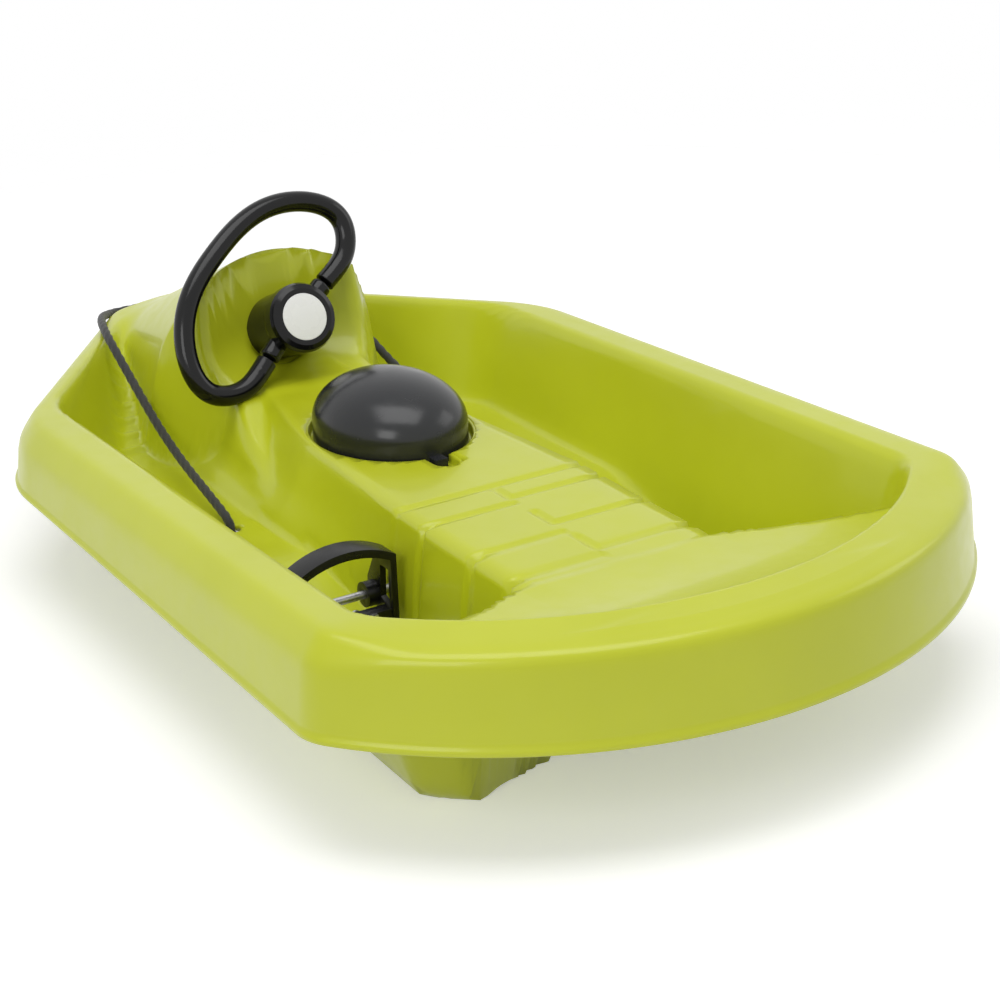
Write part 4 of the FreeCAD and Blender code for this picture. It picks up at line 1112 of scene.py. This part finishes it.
def dressed(name, width):
    mesh = nodes[name].data.copy()
    mesh.name = name + "Dressed"
    piece = bpy.data.objects.new(name + "Dressed", mesh)
    scene.collection.objects.link(piece)
    build = bmesh.new()
    build.from_mesh(mesh)
    bmesh.ops.remove_doubles(build, verts=build.verts, dist=bevelSizes["weld"])
    bmesh.ops.dissolve_limit(
        build, angle_limit=bevelSizes["flatAngle"], verts=build.verts, edges=build.edges
    )
    build.to_mesh(mesh)
    build.free()
    bevel = piece.modifiers.new("brokenEdges", "BEVEL")
    bevel.width = width
    bevel.segments = bevelSizes["segments"]
    bevel.limit_method = "ANGLE"
    bevel.angle_limit = bevelSizes["edgeAngle"]
    bevel.miter_outer = "MITER_ARC"
    baked(piece)
    piece.data.shade_smooth()
    piece.data.set_sharp_from_angle(angle=bevelSizes["sharpAngle"])
    return settle(piece, bodyOf[name], finishes[slotOf[name]], [name])


for name, width in edgeSizes.items():
    dressed(name, width)
for name, node in nodes.items():
    if node.hide_render:
        continue
    node.data.materials.clear()
    node.data.materials.append(finishes[slotOf[name]])
print("finishes set")


# floor, light and world
floorSizes = {
    "radius": 2.2,
    "sides": 96,
    "fadeStart": 0.6,
    "fadeEnd": 1.6,
    "colour": grey(0.9),
    "rough": 0.95,
    "shine": 0.1,
    "glow": 0.36,
}
lampSizes = {
    "overhead": {"place": (-0.3, 0.2, 2.6), "size": (2.2, 1.6), "power": 30},
    "leftKey": {"place": (-1.6, 2.4, 1.7), "size": (1.4, 1.4), "power": 20},
    "rightFill": {"place": (-0.8, -2.6, 1.6), "size": (1.6, 1.2), "power": 8},
}
lampTarget = (0, 0, 0.1)
worldSizes = {
    "lit": 0.42,
    "seen": 1.0,
}


# 1 for rays from the camera, in reflections and through glass
def seenRays(tree):
    path = tree.nodes.new("ShaderNodeLightPath")
    seen = path.outputs["Is Camera Ray"]
    for name in ("Is Glossy Ray", "Is Transmission Ray"):
        either = tree.nodes.new("ShaderNodeMath")
        either.operation = "MAXIMUM"
        tree.links.new(seen, either.inputs[0])
        tree.links.new(path.outputs[name], either.inputs[1])
        seen = either.outputs["Value"]
    return seen


def makeFloor():
    material, tree, shader = newMaterial("paleFloor")
    shader.inputs["Base Color"].default_value = floorSizes["colour"]
    shader.inputs["Roughness"].default_value = floorSizes["rough"]
    shader.inputs["Specular IOR Level"].default_value = floorSizes["shine"]
    glow = tree.nodes.new("ShaderNodeMath")
    glow.operation = "MULTIPLY"
    glow.inputs[1].default_value = floorSizes["glow"]
    tree.links.new(seenRays(tree), glow.inputs[0])
    shader.inputs["Emission Color"].default_value = grey(1)
    tree.links.new(glow.outputs["Value"], shader.inputs["Emission Strength"])
    coords = tree.nodes.new("ShaderNodeTexCoord")
    away = tree.nodes.new("ShaderNodeVectorMath")
    away.operation = "LENGTH"
    tree.links.new(coords.outputs["Object"], away.inputs[0])
    fade = tree.nodes.new("ShaderNodeMapRange")
    fade.interpolation_type = "SMOOTHSTEP"
    fade.inputs["From Min"].default_value = floorSizes["fadeStart"]
    fade.inputs["From Max"].default_value = floorSizes["fadeEnd"]
    tree.links.new(away.outputs["Value"], fade.inputs["Value"])
    clear = tree.nodes.new("ShaderNodeBsdfTransparent")
    mix = tree.nodes.new("ShaderNodeMixShader")
    tree.links.new(fade.outputs["Result"], mix.inputs["Fac"])
    tree.links.new(shader.outputs["BSDF"], mix.inputs[1])
    tree.links.new(clear.outputs["BSDF"], mix.inputs[2])
    tree.links.new(mix.outputs["Shader"], tree.nodes["Material Output"].inputs["Surface"])
    sides = floorSizes["sides"]
    ring = [(px, py, 0) for px, py in ringPoints(0, 0, floorSizes["radius"], sides)]
    floor = meshObject("floor", ring, [tuple(range(sides))])
    floor.data.materials.append(material)
    floor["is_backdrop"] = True


def softLamp(name, place, size, power):
    data = bpy.data.lights.new(name, "AREA")
    data.shape = "RECTANGLE"
    data.size, data.size_y = size
    data.energy = power
    lamp = bpy.data.objects.new(name, data)
    scene.collection.objects.link(lamp)
    lamp.location = place
    lamp.rotation_mode = "QUATERNION"
    lamp.rotation_quaternion = (Vector(lampTarget) - Vector(place)).to_track_quat("-Z", "Y")


def makeWorld():
    world = bpy.data.worlds.new("studio")
    world.use_nodes = True
    tree = world.node_tree
    background = tree.nodes["Background"]
    background.inputs["Color"].default_value = grey(1)
    level = tree.nodes.new("ShaderNodeMapRange")
    level.inputs["To Min"].default_value = worldSizes["lit"]
    level.inputs["To Max"].default_value = worldSizes["seen"]
    tree.links.new(seenRays(tree), level.inputs["Value"])
    tree.links.new(level.outputs["Result"], background.inputs["Strength"])
    scene.world = world


makeFloor()
for name, lamp in lampSizes.items():
    softLamp(name, **lamp)
makeWorld()
scene.view_settings.view_transform = "Standard"
print("studio lit")

low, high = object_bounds()
